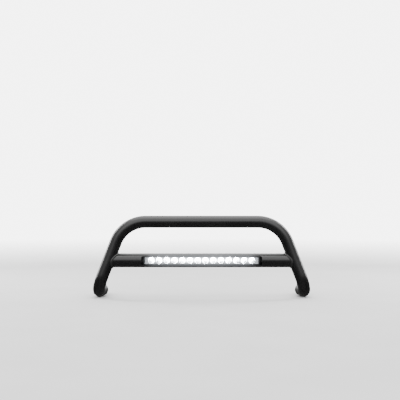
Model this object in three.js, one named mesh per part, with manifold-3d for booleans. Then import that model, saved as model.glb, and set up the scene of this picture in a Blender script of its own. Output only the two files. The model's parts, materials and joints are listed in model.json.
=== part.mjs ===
// Front grille guard for a crossover: a bent tube hoop, a larger cross tube welded between its legs,
// and a single-row LED light bar that sits in a window of the cross tube and tilts on two end pivots.
// Each foot of the hoop carries a slotted-in tab that bolts to a frame bracket.
//
// Millimetres. -Y is the front, +Z is up, and left and right are the vehicle's own, so left is +X.
// The origin is the middle of the width and of the depth, at the height of the lowest point.

import * as THREE from 'three';
import { mergeVertices } from 'three/addons/utils/BufferGeometryUtils.js';
import Module from 'manifold-3d';

const wasm = await Module();
wasm.setup();

// ---------------------------------------------------------------- driving dimensions

const DEPTH = 300;                 // front of the hoop to the brackets' mounting faces
const HOOP_TOP = 399;              // height of the top tube's centre line
const TUBE_R = 31.75;              // 2.5 inch tube
const TUBE_WALL = 3;
const TOP_HALF = 291.5;            // half of the straight top run
const CORNER_R = 166;              // centre line radius of the upper corners
const FOOT_R = 90;                 // centre line radius of the lower bends
const FOOT_RUN = 60;               // straight run of each foot behind its bend
const LEG_LEAN = degrees(21.2);    // each leg runs outward as it goes down
const HOOP_RAKE = degrees(2);      // the hoop's top leans back towards the vehicle
const TOE_IN = degrees(6);         // the feet turn inward as they run back

const CROSS_R = 36.5;              // cross tube
const CROSS_WALL = 3;
const CROSS_Z = 198;
const CROSS_SETBACK = 9.5;         // cross tube's axis behind the legs' centre line
const CROSS_TRIM = 12;             // cross tube ends this far inboard of the legs' centre line
const WINDOW_HALF_LENGTH = 312;
const WINDOW_HALF_HEIGHT = 23;
const WINDOW_CORNER_R = 8;

const LIGHT_HALF = 300;            // half of the light bar's length, over its end plates
const END_PLATE = 6;
const END_GASKET = 1;
const LIGHT_HALF_HEIGHT = 19.8;
const LIGHT_FRONT = -29;           // front edge of the housing, from the pivot axis
const LED_COUNT = 14;
const LED_PITCH = 40.2;

const TAB_THICKNESS = 6;
const TAB_INSERTED = 45;           // length of the tab held in the slotted tube end
const TAB_REACH = 86;              // length of the tab behind the tube end
const TAB_HALF_HEIGHT = 31.4;
const BRACKET_THICKNESS = 6;
const BOLT_STATIONS = [30, 66];    // bolt centres behind the tube end

const GAP = 0.3;                   // between pieces that rest on or are cut by each other
const X = new THREE.Vector3(1, 0, 0);
const Y = new THREE.Vector3(0, 1, 0);
const LEFT = 1;
const RIGHT = -1;
const SIDES = { left: LEFT, right: RIGHT };

function degrees(angle) {
  return angle * Math.PI / 180;
}

// ---------------------------------------------------------------- materials

function paint(colour, roughness, metalness) {
  return () => new THREE.MeshStandardMaterial({ color: colour, roughness, metalness });
}

const powderBlack = paint(0x161616, 0.38, 0.1);
const castBlack = paint(0x1b1b1c, 0.5, 0.4);
const zincSteel = paint(0xb9bcc0, 0.35, 0.9);
const blackSteel = paint(0x2a2a2c, 0.4, 0.8);
const rubberBlack = paint(0x131313, 0.85, 0);
const plasticBlack = paint(0x1c1c1e, 0.55, 0);
const chromeReflector = paint(0xe6e8ea, 0.12, 1);
const clearLens = paint(0xeaf2ff, 0.08, 0);
const boardWhite = paint(0xe9ebe6, 0.5, 0);
const boardGreen = paint(0x1f5a38, 0.6, 0);
const ventMembrane = paint(0x3a3a3d, 0.6, 0);

// ---------------------------------------------------------------- solids

// Closed geometry to a solid, with an optional placing matrix.
function solid(geometry, matrix = new THREE.Matrix4()) {
  const bare = geometry.clone();
  bare.deleteAttribute('normal');
  bare.deleteAttribute('uv');
  bare.applyMatrix4(matrix);
  const merged = mergeVertices(bare, 1e-4);
  return new wasm.Manifold(new wasm.Mesh({
    numProp: 3,
    vertProperties: new Float32Array(merged.attributes.position.array),
    triVerts: new Uint32Array(merged.index.array),
  }));
}

function geometryOf(body) {
  const mesh = body.getMesh();
  const geometry = new THREE.BufferGeometry();
  geometry.setAttribute('position', new THREE.BufferAttribute(mesh.vertProperties, 3));
  geometry.setIndex(new THREE.BufferAttribute(mesh.triVerts, 1));
  geometry.computeVertexNormals();
  return geometry;
}

function cut(body, ...cutters) {
  return cutters.reduce((rest, cutter) => rest.subtract(cutter), body);
}

function join(first, ...others) {
  return others.reduce((whole, other) => whole.add(other), first);
}

function at(x, y, z) {
  return new THREE.Matrix4().makeTranslation(x, y, z);
}

// A box from its lowest to its highest corner.
function block(low, high) {
  const size = high.map((value, i) => value - low[i]);
  const middle = high.map((value, i) => (value + low[i]) / 2);
  return solid(new THREE.BoxGeometry(...size), at(...middle));
}

// A round bar (or a prism of few sides) along `axis`, centred on `centre`.
function bar(axis, centre, radius, length, sides = 16, endRadius = radius) {
  const turn = new THREE.Quaternion().setFromUnitVectors(Y, axis);
  const matrix = new THREE.Matrix4().compose(centre, turn, new THREE.Vector3(1, 1, 1));
  return solid(new THREE.CylinderGeometry(endRadius, radius, length, sides), matrix);
}

function point(x, y, z) {
  return new THREE.Vector3(x, y, z);
}

// An outline drawn in (y, z) and extruded along +X from `start`.
function sideProfile(shape, start, length) {
  const turn = new THREE.Matrix4().makeBasis(Y, point(0, 0, 1), X);
  const geometry = new THREE.ExtrudeGeometry(shape, {
    depth: length, bevelEnabled: false, curveSegments: 4,
  });
  return solid(geometry, at(start, 0, 0).multiply(turn));
}

function roundedRectangle(halfWidth, halfHeight, radius) {
  const outline = new THREE.Shape();
  const x = halfWidth - radius;
  const y = halfHeight - radius;
  outline.absarc(x, y, radius, 0, Math.PI / 2);
  outline.absarc(-x, y, radius, Math.PI / 2, Math.PI);
  outline.absarc(-x, -y, radius, Math.PI, Math.PI * 1.5);
  outline.absarc(x, -y, radius, Math.PI * 1.5, Math.PI * 2);
  return outline;
}

// A body of revolution about the Y axis from a closed list of [radius, y] corners.
function turned(corners, sides = 20) {
  const profile = [...corners, corners[0]].map(([radius, y]) => new THREE.Vector2(radius, y));
  return solid(new THREE.LatheGeometry(profile, sides));
}

// Lays a piece turned about Y along +X.
const ALONG_X = new THREE.Matrix4().makeRotationZ(-Math.PI / 2);

function moved(body, matrix) {
  return body.transform(matrix.elements);
}

// ---------------------------------------------------------------- scene helpers

const guard = new THREE.Group();

function add(name, body, material, parent = guard) {
  const mesh = new THREE.Mesh(geometryOf(body), material());
  mesh.name = name;
  parent.add(mesh);
  return mesh;
}

// ---------------------------------------------------------------- bent tubes

// The centre line of a bent tube as stations: one at each end of a straight run, and a few along each
// bend, so a long straight costs no extra rings.
class BentRun extends THREE.Curve {
  constructor(start, direction) {
    super();
    this.stations = [{ place: start.clone(), heading: direction.clone() }];
  }

  get last() {
    return this.stations[this.stations.length - 1];
  }

  straight(length) {
    const { place, heading } = this.last;
    this.stations.push({
      place: place.clone().addScaledVector(heading, length),
      heading: heading.clone(),
    });
    return this;
  }

  bend(direction, radius, segments) {
    const { place, heading } = this.last;
    const inward = direction.clone().addScaledVector(heading, -direction.dot(heading)).normalize();
    const centre = place.clone().addScaledVector(inward, radius);
    const total = heading.angleTo(direction);
    for (let i = 1; i <= segments; i += 1) {
      const angle = total * i / segments;
      this.stations.push({
        place: centre.clone()
          .addScaledVector(inward, -radius * Math.cos(angle))
          .addScaledVector(heading, radius * Math.sin(angle)),
        heading: heading.clone().multiplyScalar(Math.cos(angle))
          .addScaledVector(inward, Math.sin(angle)),
      });
    }
    return this;
  }

  // The same run followed through its mirror image in the X = 0 plane, from far end to far end.
  withMirror() {
    const whole = new BentRun(this.last.place, this.last.heading);
    const mirrored = this.stations.slice(1).reverse().map(({ place, heading }) => ({
      place: place.clone().setX(-place.x),
      heading: point(heading.x, -heading.y, -heading.z),
    }));
    const centre = this.stations[0];
    const forward = this.stations.slice(1);
    whole.stations = [...mirrored, centre, ...forward];
    return whole;
  }

  station(t) {
    return this.stations[Math.round(t * (this.stations.length - 1))];
  }

  getPoint(t) {
    return this.station(t).place.clone();
  }

  getTangent(t) {
    return this.station(t).heading.clone();
  }

  getPointAt(t) {
    return this.getPoint(t);
  }

  getTangentAt(t) {
    return this.getTangent(t);
  }

  getSpacedPoints() {
    return this.stations.map(({ place }) => place.clone());
  }

  // A round tube (or a solid rod, without a wall) swept along the run.
  sweep(radius, wall, quarterSides) {
    const section = new THREE.Shape();
    section.absarc(0, 0, radius, 0, Math.PI * 2);
    if (wall) {
      const bore = new THREE.Path();
      bore.absarc(0, 0, radius - wall, 0, Math.PI * 2);
      section.holes.push(bore);
    }
    return solid(new THREE.ExtrudeGeometry(section, {
      steps: this.stations.length - 1, extrudePath: this, curveSegments: quarterSides * 2,
    }));
  }
}

// ---------------------------------------------------------------- the hoop's centre line

const hoopUp = point(0, Math.sin(HOOP_RAKE), Math.cos(HOOP_RAKE));
const legDirection = X.clone().multiplyScalar(Math.sin(LEG_LEAN))
  .addScaledVector(hoopUp, -Math.cos(LEG_LEAN));
const footDirection = point(-Math.sin(TOE_IN), Math.cos(TOE_IN), 0);

function halfHoop(legLength, start) {
  const cornerSegments = 9;
  const footSegments = 10;
  return new BentRun(start, X)
    .straight(TOP_HALF)
    .bend(legDirection, CORNER_R, cornerSegments)
    .straight(legLength)
    .bend(footDirection, FOOT_R, footSegments)
    .straight(FOOT_RUN);
}

// The leg's length brings the feet to rest on z = 0, and the y offset puts the front at -DEPTH / 2.
function placedHalfHoop() {
  const bends = halfHoop(0, point(0, 0, HOOP_TOP));
  const legLength = (bends.last.place.z - TUBE_R) / -legDirection.z;
  const atZero = halfHoop(legLength, point(0, 0, HOOP_TOP));
  const front = Math.min(...atZero.stations.map(({ place, heading }) => (
    place.y - TUBE_R * Math.sqrt(1 - heading.y ** 2))));
  return halfHoop(legLength, point(0, -DEPTH / 2 - front, HOOP_TOP));
}

const leftHalf = placedHalfHoop();
const footEnd = leftHalf.last.place;

// The point of the left leg's centre line at a given height, on its straight run.
function legAt(height) {
  const afterCorner = leftHalf.stations.find(({ heading }) => heading.angleTo(legDirection) < 1e-6);
  const run = (afterCorner.place.z - height) / -legDirection.z;
  return afterCorner.place.clone().addScaledVector(legDirection, run);
}

const legAtCross = legAt(CROSS_Z);
const CROSS_Y = legAtCross.y + CROSS_SETBACK;

function mirrored(vector, side) {
  return point(side * vector.x, vector.y, vector.z);
}

// ---------------------------------------------------------------- hoop

// The frame of a foot: origin at the tube end, local Y along the foot, and `side` X outboard.
function footMatrix(side) {
  const end = mirrored(footEnd, side);
  return at(end.x, end.y, end.z).multiply(new THREE.Matrix4().makeRotationZ(side * TOE_IN));
}

function hoopTube() {
  const slotHalf = TAB_THICKNESS / 2 + GAP;
  const overshoot = 5;
  const slot = block(
    [-slotHalf, -TAB_INSERTED - GAP, -TUBE_R - overshoot],
    [slotHalf, overshoot, TUBE_R + overshoot]);
  const slots = Object.values(SIDES).map((side) => moved(slot, footMatrix(side)));
  return cut(leftHalf.withMirror().sweep(TUBE_R, TUBE_WALL, 5), ...slots);
}

add('hoop_tube', hoopTube(), powderBlack);

// ---------------------------------------------------------------- cross tube

function legCutter(side, clearance = GAP) {
  const reach = 220;
  return bar(mirrored(legDirection, side), mirrored(legAtCross, side), TUBE_R + clearance, reach, 48);
}

// A slab parallel to the leg, between two distances inboard of its centre line.
function inclinedSlab(side, near, far) {
  const lean = Math.atan2(legDirection.x, -legDirection.z);
  const reach = 200;
  const slab = block([-far, -reach / 2, -reach / 2], [-near, reach / 2, reach / 2]);
  const turn = new THREE.Matrix4().makeRotationY(-lean);
  const flip = new THREE.Matrix4().makeRotationZ(side === LEFT ? 0 : Math.PI);
  return moved(slab, flip.multiply(at(legAtCross.x, side * legAtCross.y, CROSS_Z)).multiply(turn));
}

const SCREW_STATIONS = [280, 296];   // light bracket screws, from the middle
const CABLE_X = -22;                 // where the cable leaves the light, and where it leaves the tube
const VENT_X = 22;
const GROMMET_HOLE_R = 8;
const SCREW_HOLE_R = 3.5;

function crossHole(x, radius) {
  return bar(Y, point(x, CROSS_Y + CROSS_R, CROSS_Z), radius, CROSS_WALL * 6);
}

function windowCutter() {
  const shape = roundedRectangle(WINDOW_HALF_LENGTH, WINDOW_HALF_HEIGHT, WINDOW_CORNER_R);
  const cutterDepth = CROSS_R;
  const geometry = new THREE.ExtrudeGeometry(shape, {
    depth: cutterDepth, bevelEnabled: false, curveSegments: 4,
  });
  const facingBack = new THREE.Matrix4().makeRotationX(Math.PI / 2);
  const rearFace = CROSS_Y - CROSS_R + cutterDepth / 2;
  return solid(geometry, at(0, rearFace, CROSS_Z).multiply(facingBack));
}

function crossTube() {
  const run = new BentRun(point(-legAtCross.x, CROSS_Y, CROSS_Z), X).straight(2 * legAtCross.x);
  const beyond = -250;
  const ends = Object.values(SIDES).flatMap((side) => [
    legCutter(side),
    inclinedSlab(side, beyond, CROSS_TRIM),
  ]);
  const screwHoles = Object.values(SIDES).flatMap((side) => (
    SCREW_STATIONS.map((x) => crossHole(side * x, SCREW_HOLE_R))));
  return cut(run.sweep(CROSS_R, CROSS_WALL, 7), ...ends, ...screwHoles,
    crossHole(CABLE_X, GROMMET_HOLE_R), windowCutter());
}

// The flat plate that closes the back of the cross tube's end, where the tube is wider than the leg.
function closingPlate(side) {
  const plate = 3;
  const disc = bar(X, point(side * legAtCross.x, CROSS_Y, CROSS_Z),
    CROSS_R - CROSS_WALL - GAP, CROSS_R * 4, 32);
  return disc.intersect(inclinedSlab(side, CROSS_TRIM, CROSS_TRIM + plate)).subtract(legCutter(side));
}

add('crossbar_tube', crossTube(), powderBlack);
for (const [name, side] of Object.entries(SIDES)) {
  add(`${name}_crossbar_closing_plate`, closingPlate(side), powderBlack);
}

// ---------------------------------------------------------------- foot tabs, brackets and bolts

const M12 = {
  shank: 6, headAcross: 18, headHeight: 7.5, washer: 12, washerThickness: 2.5,
  lockWasher: 10.5, lockThickness: 3, nutHeight: 10.5, hole: 6.8, boreClearance: 0.4,
};
const BRACKET_FACE = TAB_THICKNESS / 2 + GAP;                // side plate's face towards the tab
const BRACKET_BACK = BRACKET_FACE + BRACKET_THICKNESS;
const BRACKET_START = 8;             // bracket's front edge behind the tube end
const BRACKET_FRONT_HIGH = 24;       // side plate's top edge above the tab's middle, at its front
const BRACKET_RISE = { start: 62, end: 22 };                // its sloping edge, from the flange
const FLANGE_WIDTH = 45;
const FLANGE_LOW = 6;
const FLANGE_HIGH = 108;
const FLANGE_SLOT = { halfWidth: 6.5, halfLength: 12, apart: 56 };

// The tab's outline in (y, z): welded into the slotted tube end at its front, rounded at its back.
function footTab() {
  const corner = 14;
  const outline = new THREE.Shape();
  outline.moveTo(-TAB_INSERTED, -TAB_HALF_HEIGHT);
  outline.absarc(TAB_REACH - corner, -TAB_HALF_HEIGHT + corner, corner, -Math.PI / 2, 0);
  outline.absarc(TAB_REACH - corner, TAB_HALF_HEIGHT - corner, corner, 0, Math.PI / 2);
  outline.lineTo(-TAB_INSERTED, TAB_HALF_HEIGHT);
  const holes = BOLT_STATIONS.map((y) => bar(X, point(0, y, 0), M12.hole, TAB_THICKNESS * 2));
  return cut(sideProfile(outline, -TAB_THICKNESS / 2, TAB_THICKNESS), ...holes);
}

// The side plate's outline in (y, z) of the foot's frame, rising towards the flange.
function sidePlateOutline(rear) {
  const low = FLANGE_LOW - TUBE_R;
  const high = FLANGE_HIGH - TUBE_R;
  return new THREE.Shape([
    [BRACKET_START, low], [rear, low], [rear, high], [rear - BRACKET_RISE.end, high],
    [rear - BRACKET_RISE.start, BRACKET_FRONT_HIGH], [BRACKET_START, BRACKET_FRONT_HIGH],
  ].map(([y, z]) => new THREE.Vector2(y, z)));
}

// The bracket is one folded plate: a side plate along the outboard face of the tab, and a rear flange
// square to the vehicle, turned outboard behind the leg.
function frameBracket(side) {
  const inFoot = footMatrix(side);
  const face = DEPTH / 2;
  const rear = (face - footEnd.y) / Math.cos(TOE_IN);
  const plateStart = side === LEFT ? BRACKET_FACE : -BRACKET_BACK;
  const overshoot = 3;
  const sidePlate = moved(
    sideProfile(sidePlateOutline(rear + overshoot), plateStart, BRACKET_THICKNESS), inFoot);

  const fold = point(side * BRACKET_FACE, rear, 0).applyMatrix4(inFoot);
  const inner = fold.x + side;
  const outer = inner + side * FLANGE_WIDTH;
  const flange = block(
    [Math.min(inner, outer), face - BRACKET_THICKNESS, FLANGE_LOW],
    [Math.max(inner, outer), face, FLANGE_HIGH]);
  const behind = block([-DEPTH * 3, face, -DEPTH], [DEPTH * 3, face + DEPTH, DEPTH]);
  return cut(join(sidePlate, flange), behind,
    ...tabSlots(side, inFoot), ...flangeSlots((inner + outer) / 2 + side * BRACKET_THICKNESS / 2));
}

function slotCutter(halfLength, halfWidth, depth, matrix) {
  const shape = roundedRectangle(halfLength, halfWidth, halfWidth - 0.01);
  return solid(new THREE.ExtrudeGeometry(shape, {
    depth, bevelEnabled: false, curveSegments: 2,
  }), matrix);
}

// Fore-and-aft slots for the two tab bolts.
function tabSlots(side, inFoot) {
  const travel = 6;
  const depth = BRACKET_THICKNESS * 3;
  const sideways = new THREE.Matrix4().makeBasis(Y, point(0, 0, 1), X);
  const middle = side * (BRACKET_FACE + BRACKET_BACK) / 2;
  return BOLT_STATIONS.map((y) => {
    const start = at(middle - depth / 2, y, 0);
    return slotCutter(M12.hole + travel, M12.hole, depth,
      inFoot.clone().multiply(start).multiply(sideways));
  });
}

// Two upright slots for the vehicle's own bolts.
function flangeSlots(middleX) {
  const middleZ = (FLANGE_LOW + FLANGE_HIGH) / 2;
  const depth = BRACKET_THICKNESS * 3;
  const upright = new THREE.Matrix4().makeBasis(point(0, 0, 1), X, Y);
  return [-FLANGE_SLOT.apart / 2, FLANGE_SLOT.apart / 2].map((z) => (
    slotCutter(FLANGE_SLOT.halfLength, FLANGE_SLOT.halfWidth, depth,
      at(middleX, DEPTH / 2 - depth / 2, middleZ + z).multiply(upright))));
}

// A hexagon across flats `across`, from `start` to `start + height` along X.
function hexagon(across, start, height) {
  const radius = across / 2 / Math.cos(Math.PI / 6);
  return bar(X, point(start + height / 2, 0, 0), radius, height, 6);
}

// A ring from x = start to x = start + thickness.
function ring(outer, inner, start, thickness, sides = 16) {
  const corners = [[inner, 0], [outer, 0], [outer, thickness], [inner, thickness]];
  return moved(turned(corners, sides), at(start, 0, 0).multiply(ALONG_X));
}

// Along X, from the inboard head outward: head, washer, tab, bracket, lock washer, nut.
function boltStack() {
  const washerStart = -TAB_THICKNESS / 2 - GAP - M12.washerThickness;
  const headStart = washerStart - GAP - M12.headHeight;
  const lockStart = BRACKET_BACK + GAP;
  const nutStart = lockStart + M12.lockThickness + GAP;
  const threadBeyond = 5;
  const shankStart = headStart + 1;
  const shankLength = nutStart + M12.nutHeight + threadBeyond - shankStart;
  const shank = bar(X, point(shankStart + shankLength / 2, 0, 0), M12.shank, shankLength);
  const splitHalf = 0.6;
  const split = block([lockStart - GAP, -splitHalf, 0],
    [lockStart + M12.lockThickness + GAP, splitHalf, M12.lockWasher * 2]);
  const boreR = M12.shank + M12.boreClearance;
  const bore = bar(X, point(nutStart, 0, 0), boreR, M12.nutHeight * 4);
  return {
    bolt: join(shank, hexagon(M12.headAcross, headStart, M12.headHeight)),
    washer: ring(M12.washer, boreR, washerStart, M12.washerThickness),
    lock_washer: cut(ring(M12.lockWasher, boreR, lockStart, M12.lockThickness), split),
    nut: cut(hexagon(M12.headAcross, nutStart, M12.nutHeight), bore),
  };
}

function mirrorX(body) {
  return body.mirror([1, 0, 0]);
}

for (const [name, side] of Object.entries(SIDES)) {
  const foot = new THREE.Group();
  foot.applyMatrix4(footMatrix(side));
  guard.add(foot);
  add(`${name}_foot_tab`, footTab(), powderBlack, foot);
  add(`${name}_frame_bracket`, frameBracket(side), powderBlack);
  BOLT_STATIONS.forEach((y, index) => {
    const position = index === 0 ? 'front' : 'rear';
    for (const [piece, body] of Object.entries(boltStack())) {
      const handed = side === LEFT ? body : mirrorX(body);
      add(`${name}_${position}_${piece}`, handed, zincSteel, foot).position.y = y;
    }
  });
}

// ---------------------------------------------------------------- light bar
// Drawn about its own pivot axis: y = 0, z = 0 is the cross tube's axis.

const light = new THREE.Group();
light.position.set(0, CROSS_Y, CROSS_Z);
guard.add(light);

const BODY_HALF = LIGHT_HALF - END_PLATE - END_GASKET;      // extrusion's half length
const GROOVE = { front: -27, back: -23.2, depth: 18.8 };    // lens groove
const LIP = 17;                      // half height of the opening in front of the lens
const LEDGE = { back: -21, height: 16 };                    // step behind the lens
const CAVITY = { halfHeight: 17.3, corner: 1, rearHalf: 11.5, floor: 8.5 };
const FIN_ROOT = 11.5;
const FIN_TIP_R = 28.5;              // fin tips lie on a circle about the pivot
const FIN_TIP_MAX = 22;
const FIN_COUNT = 7;
const FIN_THICKNESS = 1.8;
const SCREW_BOSS = { y: 5.5, z: 15.6 };                     // end plate screws
const PIVOT = { shank: 3, headR: 5.4, headHeight: 3.2, washerR: 6.2, washerThickness: 1.2,
  spacerThickness: 1, clearance: 0.3, socketR: 2.2 };
const END_SCREW = { headR: 2.8, headHeight: 1.4, shankR: 1.5, length: 14, socketR: 1.3 };
const END_SCREW_HOLE_R = 1.8;
const EAR = { inner: LIGHT_HALF + 1.6, thickness: 3, halfHeight: 10, front: -10 };
const FOOT_PLATE = { back: 31.2, start: 271 };              // bracket's foot on the tube's back wall
const LENS_HALF = BODY_HALF - 0.5;
const TRAY = { front: LEDGE.back + GAP, back: -5, halfHeight: 16.9, cupR: 16.3, throatR: 6 };
const LED_BOARD = { front: -4.7, back: -3.1, halfHeight: 16 };
const CHIP = { front: -6.2, half: 2.6 };
const DRIVER = { front: 1.4, back: 3, half: 110, halfHeight: 10.5 };
const SEAT_GAP = 0.1;                // between a seal or a gasket and what it seals
const CABLE_R = 3;
const CABLE_BORE_R = CABLE_R + GAP;
const CABLE_START = 4;               // cable's end inside the housing
const CABLE_FLEX = 29;               // where the cable flexes as the light tilts

function finTip(z) {
  return Math.min(FIN_TIP_MAX, Math.sqrt(FIN_TIP_R ** 2 - z ** 2));
}

// The extrusion's section, front to the left: lens groove, cavity and rear fins.
function housingSection() {
  const h = LIGHT_HALF_HEIGHT;
  const upper = [
    [LIGHT_FRONT, LIP], [GROOVE.front, LIP], [GROOVE.front, GROOVE.depth], [GROOVE.back, GROOVE.depth],
    [GROOVE.back, LEDGE.height], [LEDGE.back, LEDGE.height], [LEDGE.back, CAVITY.halfHeight],
    [CAVITY.corner, CAVITY.halfHeight], [CAVITY.corner, CAVITY.rearHalf], [CAVITY.floor, CAVITY.rearHalf],
  ];
  const outline = new THREE.Shape();
  outline.moveTo(LIGHT_FRONT, -h);
  const pitch = (2 * h - FIN_THICKNESS) / (FIN_COUNT - 1);
  for (let i = 0; i < FIN_COUNT; i += 1) {
    const low = -h + i * pitch;
    const high = low + FIN_THICKNESS;
    const tip = finTip(Math.max(Math.abs(low), Math.abs(high)));
    if (i > 0) {
      outline.lineTo(FIN_ROOT, low);
    }
    outline.lineTo(tip, low);
    outline.lineTo(tip, high);
    if (i < FIN_COUNT - 1) {
      outline.lineTo(FIN_ROOT, high);
    }
  }
  outline.lineTo(LIGHT_FRONT, h);
  upper.forEach(([y, z]) => outline.lineTo(y, z));
  upper.reverse().forEach(([y, z]) => outline.lineTo(y, -z));
  return outline;
}

const PAD_HALF = 45;                 // flat pad milled across the fins for the gland and the vent
const GLAND_HOLE_R = 6.2;
const VENT_HOLE_R = 4.2;
const SMALL_HOLE_SIDES = 10;

// The pair of end plate screw holes at one end of the light, along X through `x`.
function endScrewHoles(x, length) {
  return [-SCREW_BOSS.z, SCREW_BOSS.z].map((z) => (
    bar(X, point(x, SCREW_BOSS.y, z), END_SCREW_HOLE_R, length, SMALL_HOLE_SIDES)));
}

function lightHousing() {
  const body = sideProfile(housingSection(), -BODY_HALF, 2 * BODY_HALF);
  const pad = block([-PAD_HALF, FIN_ROOT, -2 * FIN_TIP_R], [PAD_HALF, 2 * FIN_TIP_R, 2 * FIN_TIP_R]);
  const wall = FIN_ROOT - CAVITY.floor;
  const glandHole = bar(Y, point(CABLE_X, FIN_ROOT, 0), GLAND_HOLE_R, wall * 4);
  const ventHole = bar(Y, point(VENT_X, FIN_ROOT, 0), VENT_HOLE_R, wall * 4);
  const screwDepth = 20;
  const screwHoles = [-BODY_HALF, BODY_HALF].flatMap((x) => endScrewHoles(x, 2 * screwDepth));
  return cut(body, pad, glandHole, ventHole, ...screwHoles);
}

// The extrusion's outer outline over the fin tips, drawn in by `margin`.
function endOutline(margin) {
  const h = LIGHT_HALF_HEIGHT;
  const chamferHeight = Math.sqrt(FIN_TIP_R ** 2 - FIN_TIP_MAX ** 2);
  const corners = [
    [LIGHT_FRONT + margin, h - margin], [finTip(h), h - margin], [FIN_TIP_MAX - margin, chamferHeight]];
  const lower = corners.map(([y, z]) => new THREE.Vector2(y, -z));
  const upper = corners.map(([y, z]) => new THREE.Vector2(y, z)).reverse();
  return new THREE.Shape([...lower, ...upper]);
}

function endPlate(side) {
  const start = side === LEFT ? LIGHT_HALF - END_PLATE : -LIGHT_HALF;
  const pivot = bar(X, point(side * LIGHT_HALF, 0, 0), PIVOT.shank + PIVOT.clearance, END_PLATE * 4);
  return cut(sideProfile(endOutline(0), start, END_PLATE), pivot,
    ...endScrewHoles(side * LIGHT_HALF, END_PLATE * 4));
}

function endGasket(side) {
  const thickness = END_GASKET - 2 * SEAT_GAP;
  const near = BODY_HALF + SEAT_GAP;
  const start = side === LEFT ? near : -near - thickness;
  const margin = 0.4;
  const opening = block([-LIGHT_HALF, LEDGE.back, -CAVITY.rearHalf + SEAT_GAP],
    [LIGHT_HALF, CABLE_START, CAVITY.rearHalf - SEAT_GAP]);
  return cut(sideProfile(endOutline(margin), start, thickness), opening,
    ...endScrewHoles(side * BODY_HALF, END_GASKET * 8));
}

// A cap screw with its head outboard of x = 0 and its shank towards the middle.
function capScrew({ headR, headHeight, shankR, length, socketR }) {
  const intoHead = headHeight / 2;
  const shankSides = 12;
  const head = bar(X, point(headHeight / 2, 0, 0), headR, headHeight);
  const shank = bar(X, point((intoHead - length) / 2, 0, 0), shankR, length + intoHead, shankSides);
  const socket = bar(X, point(headHeight, 0, 0), socketR, headHeight, 6);
  return cut(join(head, shank), socket);
}

function place(body, side, x, y, z) {
  const laid = side === LEFT ? body : mirrorX(body);
  return moved(laid, at(side * x, y, z));
}

function ledPlaces() {
  const places = [];
  for (let i = 0; i < LED_COUNT; i += 1) {
    places.push((i - (LED_COUNT - 1) / 2) * LED_PITCH);
  }
  return places;
}

function reflectorTray() {
  const depth = TRAY.back - TRAY.front;
  const overshoot = 0.5;
  const cupSides = 16;
  const slope = (TRAY.cupR - TRAY.throatR) / depth;
  const tray = block([-LENS_HALF, TRAY.front, -TRAY.halfHeight], [LENS_HALF, TRAY.back, TRAY.halfHeight]);
  const cups = ledPlaces().map((x) => bar(Y, point(x, (TRAY.front + TRAY.back) / 2, 0),
    TRAY.cupR + slope * overshoot, depth + 2 * overshoot, cupSides, TRAY.throatR - slope * overshoot));
  return cut(tray, ...cups);
}

function ledBoard() {
  const board = block([-LENS_HALF, LED_BOARD.front, -LED_BOARD.halfHeight],
    [LENS_HALF, LED_BOARD.back, LED_BOARD.halfHeight]);
  const into = (LED_BOARD.front + LED_BOARD.back) / 2;
  const chips = ledPlaces().map((x) => (
    block([x - CHIP.half, CHIP.front, -CHIP.half], [x + CHIP.half, into, CHIP.half])));
  return join(board, ...chips);
}

// The board that holds the light's current, with its taller parts: inductor, capacitor and packages.
function driverBoard() {
  const board = block([-DRIVER.half, DRIVER.front, -DRIVER.halfHeight],
    [DRIVER.half, DRIVER.back, DRIVER.halfHeight]);
  const into = (DRIVER.front + DRIVER.back) / 2;
  const part = (x, z, width, height, tall) => (
    block([x, into, z], [x + width, DRIVER.back + tall, z + height]));
  const can = (x, z, radius, tall) => (
    bar(Y, point(x, (into + DRIVER.back + tall) / 2, z), radius, DRIVER.back + tall - into));
  const inductor = can(60, 0, 7, 4.5);
  const capacitor = can(38, 4, 4, 4.5);
  const packages = [part(-95, -8, 15, 12, 4.5), part(-70, -3, 18, 11, 3.5), part(80, -8, 18, 14, 4.5)];
  return join(board, inductor, capacitor, ...packages);
}

const GASKET_FRONT = GROOVE.back - 1;

function lens() {
  const half = GROOVE.depth - GAP;
  return block([-LENS_HALF, GROOVE.front + GAP, -half], [LENS_HALF, GASKET_FRONT - SEAT_GAP, half]);
}

function lensGasket() {
  const outer = GROOVE.depth - GAP;
  const back = GROOVE.back - SEAT_GAP;
  const inner = LEDGE.height + 2 * SEAT_GAP;
  const rim = outer - inner;
  const frame = block([-LENS_HALF, GASKET_FRONT, -outer], [LENS_HALF, back, outer]);
  const opening = block([-LENS_HALF + rim, GASKET_FRONT - 1, -inner], [LENS_HALF - rim, back + 1, inner]);
  return cut(frame, opening);
}

// A fitting turned about Y at the housing's back wall, from [radius, distance behind the wall] corners.
function backFitting(x, corners) {
  const sides = 18;
  return moved(turned(corners.map(([radius, behind]) => [radius, FIN_ROOT + behind]), sides), at(x, 0, 0));
}

function cableGland() {
  const shank = GLAND_HOLE_R - GAP;
  const flange = { r: 8, back: 5 };
  const cap = { r: 7, back: 9, endR: 5, end: 12 };
  return backFitting(CABLE_X, [
    [CABLE_BORE_R, -4], [shank, -4], [shank, GAP], [flange.r, GAP], [flange.r, flange.back],
    [cap.r, flange.back + 0.5], [cap.r, cap.back], [cap.endR, cap.end], [CABLE_BORE_R, cap.end],
  ]);
}

function breatherVent() {
  const shank = VENT_HOLE_R - GAP;
  const boreR = 0.8;
  const cap = { r: 6, edge: 2.5, crownR: 5, top: 3.5 };
  return backFitting(VENT_X, [
    [boreR, -3], [shank, -3], [shank, GAP], [cap.r, GAP], [cap.r, cap.edge],
    [cap.crownR, cap.top], [boreR, cap.top],
  ]);
}

function lightCable() {
  return bar(Y, point(CABLE_X, (CABLE_START + CABLE_FLEX) / 2, 0), CABLE_R, CABLE_FLEX - CABLE_START, 12);
}

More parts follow.
